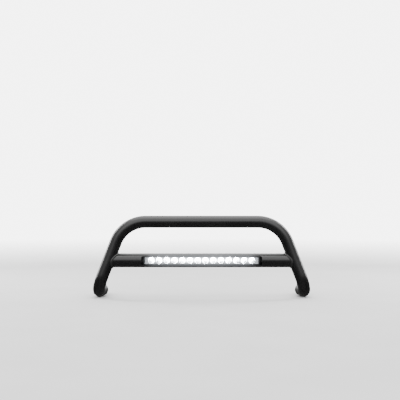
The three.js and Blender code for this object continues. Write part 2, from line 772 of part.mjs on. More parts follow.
add('light_housing', lightHousing(), castBlack, light);
add('driver_board', driverBoard(), boardGreen, light);
add('led_board', ledBoard(), boardWhite, light);
add('reflector_tray', reflectorTray(), chromeReflector, light);
add('lens_gasket', lensGasket(), rubberBlack, light);
add('lens', lens(), clearLens, light);
add('cable_gland', cableGland(), plasticBlack, light);
add('breather_vent', breatherVent(), ventMembrane, light);
add('light_cable', lightCable(), rubberBlack, light);

for (const [name, side] of Object.entries(SIDES)) {
  add(`${name}_end_gasket`, endGasket(side), rubberBlack, light);
  add(`${name}_end_plate`, endPlate(side), castBlack, light);
  const screw = capScrew(END_SCREW);
  const screwX = LIGHT_HALF + SEAT_GAP;
  add(`${name}_end_screw_upper`, place(screw, side, screwX, SCREW_BOSS.y, SCREW_BOSS.z),
    blackSteel, light);
  add(`${name}_end_screw_lower`, place(screw, side, screwX, SCREW_BOSS.y, -SCREW_BOSS.z),
    blackSteel, light);
  const washerBore = PIVOT.shank + PIVOT.clearance;
  const spacer = ring(PIVOT.washerR, washerBore, 0, PIVOT.spacerThickness);
  add(`${name}_pivot_spacer`, place(spacer, side, LIGHT_HALF + GAP, 0, 0), plasticBlack, light);
  const washer = ring(PIVOT.washerR, washerBore, 0, PIVOT.washerThickness);
  const washerX = EAR.inner + EAR.thickness + GAP;
  add(`${name}_pivot_washer`, place(washer, side, washerX, 0, 0), blackSteel, light);
  const headX = washerX + PIVOT.washerThickness + SEAT_GAP;
  const bolt = capScrew({
    headR: PIVOT.headR,
    headHeight: PIVOT.headHeight,
    shankR: PIVOT.shank,
    length: headX - (LIGHT_HALF - END_PLATE) - END_GASKET / 2,
    socketR: PIVOT.socketR,
  });
  add(`${name}_pivot_bolt`, place(bolt, side, headX, 0, 0), blackSteel, light);
}

// ---------------------------------------------------------------- light brackets and their screws

const BRACKET_SCREW = { headR: 5.5, headHeight: 3.2, shankR: 3, tip: 26.5, socketR: 2 };

function lightBracket() {
  const ear = new THREE.Shape();
  const nose = EAR.front + EAR.halfHeight;
  ear.moveTo(FOOT_PLATE.back, -EAR.halfHeight);
  ear.lineTo(FOOT_PLATE.back, EAR.halfHeight);
  ear.lineTo(nose, EAR.halfHeight);
  ear.absarc(nose, 0, EAR.halfHeight, Math.PI / 2, Math.PI * 1.5);
  const upright = sideProfile(ear, EAR.inner, EAR.thickness);
  const footPlate = block(
    [FOOT_PLATE.start, FOOT_PLATE.back - EAR.thickness, -EAR.halfHeight],
    [EAR.inner + EAR.thickness, FOOT_PLATE.back, EAR.halfHeight]);
  const pivotHole = bar(X, point(EAR.inner, 0, 0), PIVOT.shank + PIVOT.clearance, EAR.thickness * 4);
  const screwHoles = SCREW_STATIONS.map((x) => (
    bar(Y, point(x, FOOT_PLATE.back, 0), BRACKET_SCREW.shankR + GAP, EAR.thickness * 4)));
  return cut(join(upright, footPlate), pivotHole, ...screwHoles);
}

// A button-head screw with its head behind the tube and its tip towards the front.
function bracketScrew() {
  const { headR, headHeight, shankR, tip, socketR } = BRACKET_SCREW;
  const seat = CROSS_R + SEAT_GAP;
  const intoHead = seat + headHeight / 4;
  const crownR = headR * 0.7;
  const head = bar(Y, point(0, seat + headHeight / 2, 0), headR, headHeight, 16, crownR);
  const shank = bar(Y, point(0, (intoHead + tip) / 2, 0), shankR, intoHead - tip, 12);
  const socket = bar(Y, point(0, seat + headHeight, 0), socketR, headHeight, 6);
  return cut(join(head, shank), socket);
}

const fixed = new THREE.Group();     // pieces on the cross tube's axis that don't tilt
fixed.position.copy(light.position);
guard.add(fixed);

for (const [name, side] of Object.entries(SIDES)) {
  add(`${name}_light_bracket`, place(lightBracket(), side, 0, 0, 0), blackSteel, fixed);
  SCREW_STATIONS.forEach((x, index) => {
    const position = index === 0 ? 'inner' : 'outer';
    add(`${name}_bracket_screw_${position}`, moved(bracketScrew(), at(side * x, 0, 0)),
      zincSteel, fixed);
  });
}

// ---------------------------------------------------------------- cable, grommet, saddle and plug

const CABLE_SEAT = CROSS_R + 5;      // cable's centre line where it lies behind the tube
const CABLE_STRAIGHT = 118;          // length of cable that lies along the tube
const SADDLE = { halfLength: 7, halfHeight: 8, cover: 2.2, share: 0.45 };
const CABLE_BORE_SIDES = 14;

function grommet() {
  const neck = GROMMET_HOLE_R - GAP;
  const lip = { r: 10.5, thickness: 1.8, crownR: 9, crown: 2.4 };
  const inside = CROSS_R - CROSS_WALL - 1.9;                // the flange is flat, the tube's wall curved
  const outside = CROSS_R + SEAT_GAP;
  const sides = 18;
  return moved(turned([
    [CABLE_BORE_R, inside - lip.thickness], [lip.r, inside - lip.thickness], [lip.r, inside],
    [neck, inside], [neck, outside], [lip.r, outside], [lip.crownR, outside + lip.crown],
    [CABLE_BORE_R, outside + lip.crown],
  ], sides), at(CABLE_X, 0, 0));
}

// Out through the grommet, round towards the right, and back down onto the tube.
function supplyRun() {
  const slope = degrees(25);
  const backDown = point(-Math.cos(slope), -Math.sin(slope), 0);
  const along = point(-1, 0, 0);
  const turnR = 10;
  const settleR = 30;
  const flexGap = 0.6;
  const outOfTube = 5.5;
  const run = new BentRun(point(CABLE_X, CABLE_FLEX + flexGap, 0), Y)
    .straight(CROSS_R + outOfTube - CABLE_FLEX - flexGap)
    .bend(backDown, turnR, 7);
  const drop = run.last.place.y - CABLE_SEAT - settleR * (1 - Math.cos(slope));
  return run
    .straight(drop / Math.sin(slope))
    .bend(along, settleR, 3)
    .straight(CABLE_STRAIGHT);
}

function cableSaddle(run) {
  const middle = run.last.place.x + CABLE_STRAIGHT * SADDLE.share;
  const base = CROSS_R + 2 * SEAT_GAP;
  const top = CABLE_SEAT + CABLE_R + SADDLE.cover;
  const body = block([middle - SADDLE.halfLength, base, -SADDLE.halfHeight],
    [middle + SADDLE.halfLength, top, SADDLE.halfHeight]);
  const bore = bar(X, point(middle, CABLE_SEAT, 0), CABLE_BORE_R, SADDLE.halfLength * 4, CABLE_BORE_SIDES);
  return cut(body, bore);
}

// A sealed two-way plug on the cable's end: shell, boot, collar and latch, with two pins in its mouth.
// Each part is a block from `start` to `end` beyond the cable's end, and from `low` to `high` in y.
function connectorPlug(run) {
  const cableEnd = run.last.place;
  const part = ({ start, end, low, high, halfHeight }) => block(
    [cableEnd.x - end, cableEnd.y + low, -halfHeight],
    [cableEnd.x - start, cableEnd.y + high, halfHeight]);
  const shell = part({ start: 6, end: 34, low: -4.6, high: 8, halfHeight: 8 });
  const collar = part({ start: 24, end: 30, low: -4.6, high: 9, halfHeight: 9.2 });
  const latch = part({ start: 9, end: 26, low: 7, high: 10, halfHeight: 2.5 });
  const mouth = part({ start: 24, end: 40, low: -3, high: 6.4, halfHeight: 6.2 });
  const boot = bar(X, point(cableEnd.x - 4, cableEnd.y, 0), 4.6, 16, CABLE_BORE_SIDES);
  const entry = bar(X, point(cableEnd.x + 2, cableEnd.y, 0), CABLE_BORE_R, 12, CABLE_BORE_SIDES);
  const pins = [-3, 3].map((z) => bar(X, point(cableEnd.x - 26, cableEnd.y + 1.7, z), 1, 8, 8));
  return join(cut(join(shell, boot, collar, latch), mouth, entry), ...pins);
}

function supplyCable(run) {
  const quarterSides = 3;
  return run.sweep(CABLE_R, 0, quarterSides);
}

const supply = supplyRun();
add('cable_grommet', grommet(), rubberBlack, fixed);
add('supply_cable', supplyCable(supply), rubberBlack, fixed);
add('cable_saddle', cableSaddle(supply), plasticBlack, fixed);
add('connector_plug', connectorPlug(supply), plasticBlack, fixed);

export default guard;
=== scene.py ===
"""Front grille guard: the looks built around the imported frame.

Helpers work in millimetres; meshes are written in metres. -Y is the front, +Z is up and +X is the
vehicle's left. Tube runs, plates and fasteners follow the CAD part's own dimensions.
"""

import json
from math import acos, asin, atan2, ceil, cos, hypot, inf, pi, radians, sin, sqrt, tan

import bmesh
import bpy
import numpy as np
from mathutils import Matrix, Vector
from mathutils.geometry import delaunay_2d_cdt


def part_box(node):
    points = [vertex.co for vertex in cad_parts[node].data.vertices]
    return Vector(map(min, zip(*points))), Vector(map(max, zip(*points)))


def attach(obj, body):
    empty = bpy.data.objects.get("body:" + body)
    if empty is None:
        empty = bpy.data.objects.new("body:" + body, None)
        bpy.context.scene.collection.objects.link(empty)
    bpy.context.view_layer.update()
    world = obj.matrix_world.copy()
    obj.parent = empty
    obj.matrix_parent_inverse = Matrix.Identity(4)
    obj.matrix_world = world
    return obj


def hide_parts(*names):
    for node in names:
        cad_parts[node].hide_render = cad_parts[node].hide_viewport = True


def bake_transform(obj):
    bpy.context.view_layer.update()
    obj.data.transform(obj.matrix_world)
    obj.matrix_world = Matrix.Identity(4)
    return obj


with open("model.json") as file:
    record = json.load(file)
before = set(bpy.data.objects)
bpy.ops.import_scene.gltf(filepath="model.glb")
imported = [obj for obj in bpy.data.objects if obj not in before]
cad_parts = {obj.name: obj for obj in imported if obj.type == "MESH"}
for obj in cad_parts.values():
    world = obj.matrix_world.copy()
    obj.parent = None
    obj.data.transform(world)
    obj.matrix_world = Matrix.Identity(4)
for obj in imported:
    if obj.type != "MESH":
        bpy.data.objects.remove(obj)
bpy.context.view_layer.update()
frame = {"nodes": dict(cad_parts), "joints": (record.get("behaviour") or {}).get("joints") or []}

# ---- dimensions (mm)

MM = 0.001
TAU = 2 * pi
LEFT = 1
RIGHT = -1
SIDES = (("left", LEFT), ("right", RIGHT))

DEPTH = 300
HOOP_TOP = 399
TUBE_R = 31.75
TUBE_WALL = 3
TOP_HALF = 291.5
CORNER_R = 166
FOOT_R = 90
FOOT_RUN = 60
LEG_LEAN = radians(21.2)
HOOP_RAKE = radians(2)
TOE_IN = radians(6)

CROSS_R = 36.5
CROSS_WALL = 3
CROSS_TRIM = 12
WINDOW_HALF = (312, 23)
WINDOW_CORNER_R = 8
SCREW_STATIONS = (280, 296)
SCREW_HOLE_R = 3.5
CABLE_X = -22
VENT_X = 22
GROMMET_HOLE_R = 8

TAB_THICKNESS = 6
TAB_INSERTED = 45
TAB_REACH = 86
TAB_HALF_HEIGHT = 31.4
TAB_CORNER_R = 14
BOLT_STATIONS = (30, 66)
BOLT_HOLE_R = 6.8
PLATE = 6
BRACKET_START = 8
BRACKET_FACE = 3.3
BRACKET_FOLD_R = 10
FLANGE_LOW = 6
FLANGE_HIGH = 108
FLANGE_WIDTH = 45
FLANGE_SLOT_Z = 28                       # from the flange's middle
BRACKET_NOSE = TUBE_R + 24               # height of the side plate's front end
BRACKET_SLOPE = (62, 22)                 # its top rises between these distances before the flange

LIGHT_HALF = 300
LIGHT_HALF_HEIGHT = 19.8
LIGHT_FRONT = -29                        # these depths are from the tilt axis
FIN_ROOT = 11.5
COVER_BACK = 22
COVER_R = 28.5
LENS_HALF = 292.5
LENS_HALF_HEIGHT = 18.5
LENS_FRONT = -26.7
LENS_BACK = -24.3
TRAY_FRONT = -20.7
TRAY_BACK = -5.0
TRAY_HALF_HEIGHT = 16.9
CUP_R = 16.3
THROAT_R = 6.0
BOARD_FRONT = -4.7
BOARD_HALF_HEIGHT = 16
LED_COUNT = 14
LED_PITCH = 40.2
LED_PLACES = [(i - (LED_COUNT - 1) / 2) * LED_PITCH for i in range(LED_COUNT)]
EAR_FACE = LIGHT_HALF + 1.6
EAR_THICKNESS = 3
EAR_HALF_HEIGHT = 10
EAR_FRONT = -10
PIVOT_HOLE_R = 3.3
CABLE_R = 3

AXIS = np.array(frame["joints"][0]["pos_m"]) / MM        # the light's tilt axis, the cross tube's too
CROSS_Y, CROSS_Z = AXIS[1], AXIS[2]


# ---- vectors and placing

def vec(*values):
    return np.array(values, float)


def unit(v):
    return v / np.linalg.norm(v)


def placed(points, matrix):
    """Points through a 4x4 matrix, all in millimetres."""
    m = np.array(matrix, float)
    return np.asarray(points, float).reshape(-1, 3) @ m[:3, :3].T + m[:3, 3]


def mirrored(side, rows):
    """The columns of rows of vectors, mirrored to a side."""
    return [np.array(column) * vec(side, 1, 1) for column in zip(*rows)]


def move(x, y, z):
    return Matrix.Translation((x, y, z))


def turn(angle, axis):
    return Matrix.Rotation(angle, 4, axis)


ON_AXIS = move(0, CROSS_Y, CROSS_Z)
Z_TO_X = turn(pi / 2, "Y")               # lays a piece turned about Z along +X
Z_TO_Y = turn(-pi / 2, "X")              # and along +Y


# ---- meshes

def add_object(name, data):
    obj = bpy.data.objects.new(name, data)
    bpy.context.scene.collection.objects.link(obj)
    return obj


def shade(mesh, sharp):
    mesh.shade_smooth()
    mesh.set_sharp_from_angle(angle=radians(sharp))


def mesh_object(name, points, faces, sharp=40):
    mesh = bpy.data.meshes.new(name)
    mesh.from_pydata((np.asarray(points, float) * MM).tolist(), [], [list(map(int, f)) for f in faces])
    clean = bmesh.new()
    clean.from_mesh(mesh)
    bmesh.ops.remove_doubles(clean, verts=clean.verts, dist=0.002 * MM)
    bmesh.ops.dissolve_degenerate(clean, edges=clean.edges, dist=0.0005 * MM)
    bmesh.ops.recalc_face_normals(clean, faces=clean.faces)
    clean.to_mesh(mesh)
    clean.free()
    shade(mesh, sharp)
    return add_object(name, mesh)


def weighted(obj):
    """Flat faces keep flat shading beside their rounded edges."""
    modifier = obj.modifiers.new("weighted_normals", "WEIGHTED_NORMAL")
    modifier.keep_sharp = True
    modifier.weight = 80
    return obj


def finish_piece(obj, body, finish, *nodes):
    """Gives a piece its finish's material (the slot name is not used) and its body, and hides the CAD nodes
    it stands for.
    """
    slot, material = finish
    obj.data.materials.clear()
    obj.data.materials.append(material)
    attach(obj, body)
    if nodes:
        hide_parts(*nodes)


def combine(obj, others, operation):
    """Boolean of obj with each of the others, which are used up."""
    for other in others:
        modifier = obj.modifiers.new("combine", "BOOLEAN")
        modifier.operation = operation
        modifier.solver = "EXACT"
        modifier.object = other
    bpy.context.view_layer.update()
    graph = bpy.context.evaluated_depsgraph_get()
    mesh = bpy.data.meshes.new_from_object(obj.evaluated_get(graph))
    obj.modifiers.clear()
    obj.data = mesh
    shade(mesh, 40)
    for other in others:
        bpy.data.objects.remove(other)
    return obj


def joined(name, objects):
    """Several closed bodies as one piece."""
    points, faces = [], []
    for obj in objects:
        base = len(points)
        points.extend(np.array(v.co) / MM for v in obj.data.vertices)
        faces.extend([base + i for i in p.vertices] for p in obj.data.polygons)
        bpy.data.objects.remove(obj)
    return mesh_object(name, points, faces)


def quads(near, far, closed=True):
    """Quads between two rows of vertex numbers."""
    count = len(near)
    pairs = [(k, (k + 1) % count) for k in range(count if closed else count - 1)]
    return [(near[k], near[n], far[n], far[k]) for k, n in pairs]


def rings_to_faces(count, sides, wrap=False, capped=False):
    """Quads between successive rings of `sides` points, and the two end faces of a capped run."""
    faces = []
    for i in range(count if wrap else count - 1):
        near, far = i * sides, (i + 1) % count * sides
        faces += quads(range(near, near + sides), range(far, far + sides))
    if capped:
        faces += [tuple(range(sides)), tuple(range((count - 1) * sides, count * sides))]
    return faces


# ---- turned pieces

def turned(name, rings, matrix, sides=48, hollow=False):
    """A body turned about Z from (radius, height) rings; either may be a function of the angle.
    A solid one is closed by its end rings; a hollow one runs back to its first ring."""
    def at(value, angle):
        return value(angle) if callable(value) else value

    points = []
    for radius, height in rings:
        for k in range(sides):
            a = TAU * k / sides
            points.append((at(radius, a) * cos(a), at(radius, a) * sin(a), at(height, a)))
    faces = rings_to_faces(len(rings), sides, wrap=hollow, capped=not hollow)
    return mesh_object(name, placed(points, matrix), faces)


HEX_CORNER = 0.985                       # of a sharp corner's radius
CONE_FOOT = 0.985                        # where the chamfer's cone starts, of the distance to the flats
CONE_SLOPE = tan(radians(28))


def hex_radius(across):
    """The radius of a hexagon `across` its flats, with corners just off sharp."""
    def radius(angle):
        off = (angle + pi / 6) % (pi / 3) - pi / 6
        return min(across / 2 / cos(off), across / 2 / cos(pi / 6) * HEX_CORNER)
    return radius


def hex_chamfer(across, edge_height, direction):
    """Heights of the curved lines where a cone trims a hexagon's corners."""
    radius = hex_radius(across)
    foot = across / 2 * CONE_FOOT
    return lambda angle: edge_height - direction * CONE_SLOPE * max(0.0, radius(angle) - foot)


def square(half):
    """Radius of a rounded square."""
    return lambda angle: half / (abs(cos(angle)) ** 6 + abs(sin(angle)) ** 6) ** (1 / 6)


def ribbed(radius, depth, count):
    return lambda angle: radius + depth * cos(count * angle)


def rounded_rim(r, h, towards_r, towards_h, edge):
    """Ring stations round a corner at (r, h): from the side that lies towards_r to the one towards_h."""
    angles = [pi / 2 * i / 3 for i in range(4)]
    return [(r + towards_r * edge * (1 - sin(a)), h + towards_h * edge * (1 - cos(a))) for a in angles]


def washer_rings(outer, inner, low, high, edge=0.4):
    return (rounded_rim(outer, low, -1, 1, edge) + rounded_rim(outer, high, -1, -1, edge)[::-1]
            + rounded_rim(inner, high, 1, -1, edge) + rounded_rim(inner, low, 1, 1, edge)[::-1])


def thread(root, depth, pitch, start, length, per_turn=8):
    """Rings of a right-hand thread that fades out at both ends."""
    def ridge(along):
        fade = min(1.0, (length - along) / pitch, along / pitch + 0.2)

        def radius(angle):
            phase = ((start + along) / pitch - angle / TAU) % 1.0
            return root + depth * fade * max(0.0, min(1.0, 1.25 * (1 - abs(2 * phase - 1)) - 0.1))
        return radius

    count = int(length / pitch * per_turn)
    return [(ridge(length * i / count), start + length * i / count) for i in range(count + 1)]


# ---- sheets with rounded rims

NEAR_RIM = 1.2                           # inner mesh points keep this distance from every rim
MITRE = 0.7                              # limits how far an offset reaches out at a sharp corner
NO_GRID = np.zeros((0, 2))


def inward(points, closed):
    """Offset vectors in the plane of a chain, to its left."""
    ahead = np.roll(points, -1, axis=0) - points
    behind = points - np.roll(points, 1, axis=0)
    if not closed:
        ahead[-1] = behind[-1]
        behind[0] = ahead[0]
    left = []
    for step in (ahead, behind):
        step /= np.linalg.norm(step, axis=1)[:, None]
        left.append(np.stack([-step[:, 1], step[:, 0]], 1))
    total = left[0] + left[1]
    scale = np.maximum(np.einsum("ij,ij->i", total, left[0]), MITRE)
    return total / scale[:, None]


def inside(polygons, points):
    """Even-odd test of many points against several closed polygons."""
    x, y = points[:, 0], points[:, 1]
    result = np.zeros(len(x), bool)
    for polygon in polygons:
        for (ax, ay), (bx, by) in zip(polygon, np.roll(polygon, -1, axis=0)):
            if ay != by:
                result ^= ((ay > y) != (by > y)) & (x < (bx - ax) * (y - ay) / (by - ay) + ax)
    return result


def clear_of(grid, polygons):
    """Grid points that keep their distance from every boundary point."""
    rim = np.vstack(polygons)
    gap = np.full(len(grid), np.inf)
    for block in np.array_split(rim, max(1, len(rim) // 64)):
        gap = np.minimum(gap, np.linalg.norm(grid[:, None, :] - block[None, :, :], axis=2).min(axis=1))
    return grid[gap > NEAR_RIM]


def face_mesh(polygons, grid):
    """Triangles of the region inside the first polygon and outside the others, and the numbers of
    the polygons' own points."""
    vertices, edges = [], []
    for polygon in polygons:
        start, count = len(vertices), len(polygon)
        vertices.extend(polygon.tolist())
        edges.extend((start + i, start + (i + 1) % count) for i in range(count))
    boundary = len(vertices)
    vertices.extend(grid[inside(polygons, grid)].tolist())
    out, _, triangles, origin, _, _ = delaunay_2d_cdt([Vector(v) for v in vertices], edges, [], 1, 1e-7)
    flat = np.array([(v.x, v.y) for v in out])
    tri = np.array([t for t in triangles if len(t) == 3])
    tri = tri[inside(polygons, flat[tri].mean(axis=1))]
    lookup = {source: index for index, sources in enumerate(origin) for source in sources}
    return flat, tri, [lookup[i] for i in range(boundary)]


def sheet(name, chains, thickness, place, grid, edge=0.5, outer_count=1, levels=None, sharp=40):
    """A sheet between depth 0 and `thickness`. A chain is a closed outline with the material on its
    left, or (function of depth, closed, has a rim). The first `outer_count` chains together make the
    outer outline, the rest are openings. Rims are rounded by `edge`, or follow (inset, depth) levels."""
    if levels is None:
        near_side = rounded_rim(0, 0, 1, 1, edge)
        levels = near_side + [(inset, thickness - depth) for inset, depth in reversed(near_side)]
    chains = [c if isinstance(c, tuple) else (lambda depth, c=c: c, True, True) for c in chains]
    points, faces, ends = [], [], []

    def level(chain, inset, depth):
        outline, closed, rim = chain
        flat = outline(depth)
        return flat + inward(flat, closed) * inset if rim else flat

    def add_points(flat, depth):
        points.extend(place(u, v, depth) for u, v in flat)
        return len(points) - len(flat)

    for inset, depth in (levels[0], levels[-1]):
        loops = [level(chain, inset, depth) for chain in chains]
        polygons = [np.vstack(loops[:outer_count])] + loops[outer_count:]
        flat, tri, order = face_mesh(polygons, clear_of(grid, polygons))
        base = add_points(flat, depth)
        faces.extend((tri + base).tolist())
        ends.append([base + i for i in order])
    position = 0
    for chain in chains:
        outline, closed, rim = chain
        count = len(outline(0.0))
        own = slice(position, position + count)
        position += count
        if rim:
            bases = [add_points(level(chain, inset, depth), depth) for inset, depth in levels[1:-1]]
            rows = [ends[0][own]] + [range(base, base + count) for base in bases] + [ends[1][own]]
            for near, far in zip(rows, rows[1:]):
                faces += quads(near, far, closed)
    return mesh_object(name, points, faces, sharp)


def area(points):
    x, y = points[:, 0], points[:, 1]
    return 0.5 * np.sum(x * np.roll(y, -1) - np.roll(x, -1) * y)


def outline_of(corners, spacing=2.5):
    """A closed outline through (x, y, radius) corners, rounded and evenly split, anticlockwise."""
    points = []
    for i, (x, y, radius) in enumerate(corners):
        here, before, after = vec(x, y), vec(*corners[i - 1][:2]), vec(*corners[(i + 1) % len(corners)][:2])
        if radius <= 0:
            points.append(here)
            continue
        a, b = unit(before - here), unit(after - here)
        half = acos(max(-1, min(1, float(a @ b)))) / 2
        centre = here + unit(a + b) * radius / sin(half)
        first, last = (here + way * radius / tan(half) - centre for way in (a, b))
        sweep = pi - 2 * half
        steps = max(3, int(sweep * radius / spacing) + 2)
        sweep *= np.sign(first[0] * last[1] - first[1] * last[0])
        for k in range(steps + 1):
            c, s = cos(sweep * k / steps), sin(sweep * k / steps)
            points.append(centre + vec(first[0] * c - first[1] * s, first[0] * s + first[1] * c))
    split = []
    for p, q in zip(points, points[1:] + points[:1]):
        parts = max(1, int(np.linalg.norm(q - p) / spacing))
        split.extend(p + (q - p) * k / parts for k in range(parts))
    split = np.array(split)
    split = split[np.linalg.norm(split - np.roll(split, 1, axis=0), axis=1) > 1e-4]
    return split if area(split) > 0 else split[::-1]


def rectangle(half_x, half_y, radius, spacing=2.5):
    ends = ((-half_x, -half_y), (half_x, -half_y), (half_x, half_y), (-half_x, half_y))
    return outline_of([(x, y, radius) for x, y in ends], spacing)


def circle(x, y, radius, count=32):
    """A round opening, clockwise, so that the material is on its left."""
    angles = -TAU * np.arange(count) / count
    return vec(x, y) + radius * np.stack([np.cos(angles), np.sin(angles)], 1)


def slot_hole(x, y, half_length, half_width, upright=False):
    """A slot with round ends, clockwise; half_length is to the ends' middles."""
    angles = pi / 2 - pi * np.arange(11) / 10
    end = np.stack([half_length + half_width * np.cos(angles), half_width * np.sin(angles)], 1)
    points = np.vstack([end, -end])
    if upright:
        points = np.stack([points[:, 1], -points[:, 0]], 1)
    points = points + vec(x, y)
    return points if area(points) < 0 else points[::-1]


def grid_of(x0, x1, y0, y1, dx, dy):
    xs = np.linspace(x0, x1, max(2, int((x1 - x0) / dx) + 1))
    ys = np.linspace(y0, y1, max(2, int((y1 - y0) / dy) + 1))
    return np.array([(x, y) for x in xs for y in ys])


def folded(u, depth, run, radius, angle):
    """A folded strip's point in the plane of its fold: the distance along the first leg, and to the
    side it folds towards. The strip bends by `angle` after `run`. `depth` is from the fold's outside."""
    bent = min(max(u - run, 0) / radius, angle)
    beyond = max(u - run - radius * angle, 0)
    return (min(u, run) + (radius - depth) * sin(bent) + beyond * cos(bent),
            radius - (radius - depth) * cos(bent) + beyond * sin(bent))


def fold_grid(run, bend, total, low, high, coarse, fine, gap):
    """Grid points of a folded strip, closer together round the bend."""
    return np.vstack([grid_of(0, run - gap, low, high, coarse, coarse),
                      grid_of(run, run + bend, low, high, *fine),
                      grid_of(run + bend + gap, total, low, high, coarse, coarse)])


# ---- swept tubes

class Run:
    """A tube's centre line: places and headings along straights and bends."""

    def __init__(self, start, heading):
        self.places = [vec(*start)]
        self.headings = [unit(vec(*heading))]

    def straight(self, length, step=12.0):
        count = max(1, int(round(length / step)))
        place, heading = self.places[-1], self.headings[-1]
        self.places += [place + heading * length * i / count for i in range(1, count + 1)]
        self.headings += [heading] * count
        return self

    def bend(self, direction, radius, step=radians(3)):
        place, heading = self.places[-1], self.headings[-1]
        direction = unit(vec(*direction))
        towards = unit(direction - heading * (direction @ heading))
        total = acos(float(np.clip(heading @ direction, -1, 1)))
        count = max(2, int(ceil(total / step)))
        for i in range(1, count + 1):
            c, s = cos(total * i / count), sin(total * i / count)
            self.places.append(place + (towards * (1 - c) + heading * s) * radius)
            self.headings.append(heading * c + towards * s)
        return self

    def ring_maker(self, first_normal, sides):
        """A function of (index, radius) that gives the ring there; the rings don't twist."""
        normals = []
        for heading in self.headings:
            normal = normals[-1] if normals else first_normal
            normals.append(unit(normal - heading * (normal @ heading)))
        angles = np.arange(sides) * TAU / sides

        def ring(index, radius):
            sideways = np.cross(self.headings[index], normals[index])
            return self.places[index] + radius * (np.outer(np.cos(angles), normals[index])
                                                  + np.outer(np.sin(angles), sideways))
        return ring


HOOP_UP = vec(0, sin(HOOP_RAKE), cos(HOOP_RAKE))
LEG = vec(1, 0, 0) * sin(LEG_LEAN) - HOOP_UP * cos(LEG_LEAN)
FOOT = vec(-sin(TOE_IN), cos(TOE_IN), 0)
OUTBOARD = vec(cos(TOE_IN), sin(TOE_IN), 0)              # square to the left foot


def half_hoop(leg_length, y):
    run = Run((0, y, HOOP_TOP), (1, 0, 0))
    run.straight(TOP_HALF).bend(LEG, CORNER_R)
    if leg_length:
        run.straight(leg_length)
    return run.bend(FOOT, FOOT_R).straight(FOOT_RUN)


def hoop_run():
    """The left half of the hoop: its foot rests at height 0 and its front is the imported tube's."""
    bends = half_hoop(0, 0)
    leg_length = (bends.places[-1][2] - TUBE_R) / -LEG[2]
    flat = half_hoop(leg_length, 0)
    front = min(p[1] - TUBE_R * sqrt(1 - h[1] ** 2) for p, h in zip(flat.places, flat.headings))
    return half_hoop(leg_length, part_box("hoop_tube")[0].y / MM - front)


def leg_at(height):
    """The point of the left leg's centre line at a height on its straight run."""
    start = next(p for p, h in zip(HOOP.places, HOOP.headings) if h @ LEG > 1 - 1e-9)
    return start + LEG * (start[2] - height) / -LEG[2]


HOOP = hoop_run()
LEG_AT_CROSS = leg_at(CROSS_Z)
CROSS_LEAN = atan2(LEG[0], -LEG[2])


def foot_matrix(side):
    """The frame of a foot: origin at the tube end, local Y along the foot."""
    return move(*HOOP.places[-1] * vec(side, 1, 1)) @ turn(side * TOE_IN, "Z")


# ---- materials

LED_STRENGTH = 60.0
LENS_PAINTED_GLOW = 1.0                          # painted glow: the lens emits this itself, standing in for the chips' light scattered in its haze


class Nodes:
    """Short ways to write a node tree. An input takes a value or another node's output."""

    def __init__(self, owner):
        owner.use_nodes = True
        self.tree = owner.node_tree

    def fill(self, node, inputs):
        for name, value in inputs.items():
            if isinstance(value, bpy.types.NodeSocket):
                self.tree.links.new(value, node.inputs[name])
            else:
                node.inputs[name].default_value = value

    def make(self, kind, output, inputs=None, **settings):
        node = self.tree.nodes.new(kind)
        for name, value in settings.items():
            setattr(node, name, value)
        self.fill(node, inputs or {})
        return node.outputs[output]

    def add(self, a, b, weight):
        """a + b * weight."""
        return self.make("ShaderNodeMath", "Value", {0: b, 1: weight, 2: a}, operation="MULTIPLY_ADD")

    def spread(self, source, low, high, start=0.3, end=0.7):
        """Maps start..end of the source to low..high."""
        return self.make("ShaderNodeMapRange", "Result", {
            "Value": source, "From Min": start, "From Max": end, "To Min": low, "To Max": high})

    def stops(self, source, stops):
        node = self.tree.nodes.new("ShaderNodeValToRGB")
        elements = node.color_ramp.elements
        while len(elements) < len(stops):
            elements.new(0.5)
        for element, (position, colour) in zip(elements, stops):
            element.position = position
            element.color = (*colour, 1)
        self.fill(node, {"Fac": source})
        return node.outputs["Color"]

    def show(self, output, factor, first, second):
        """Shows a mix of two shaders at the tree's output node."""
        mixed = self.make("ShaderNodeMixShader", "Shader", {"Fac": factor, 1: first, 2: second})
        self.fill(self.tree.nodes[output], {"Surface": mixed})


class Surface(Nodes):
    """A material."""

    def __init__(self, name):
        self.material = bpy.data.materials.new(name)
        super().__init__(self.material)
        self.shader = self.tree.nodes["Principled BSDF"]
        self.coords = self.make("ShaderNodeTexCoord", "Object")

    def noise(self, scale, detail=3.0, roughness=0.5, stretch=None):
        coords = self.coords
        if stretch:
            coords = self.make("ShaderNodeMapping", "Vector", {"Vector": coords, "Scale": stretch})
        return self.make("ShaderNodeTexNoise", "Fac", {
            "Vector": coords, "Scale": scale, "Detail": detail, "Roughness": roughness})

    def ramp(self, source, low, high):
        return self.stops(source, ((0.3, low), (0.7, high)))

    def mix(self, factor, a, b):
        a, b = ((*c, 1) if isinstance(c, tuple) else c for c in (a, b))
        return self.make("ShaderNodeMix", "Result", {"Factor": factor, "A": a, "B": b}, data_type="RGBA")

    def bump(self, height, distance, strength):
        return self.make("ShaderNodeBump", "Normal",
                         {"Height": height, "Distance": distance, "Strength": strength})

    def edges(self):
        """Near 1 on convex edges, from the mesh's pointiness."""
        return self.spread(self.make("ShaderNodeNewGeometry", "Pointiness"), 0.0, 1.0, 0.52, 0.62)

    def finished(self, colour, rough, bump, **others):
        self.fill(self.shader, {"Base Color": colour, "Roughness": rough, "Normal": bump})
        self.fill(self.shader, {name.replace("_", " "): value for name, value in others.items()})
        return self.material


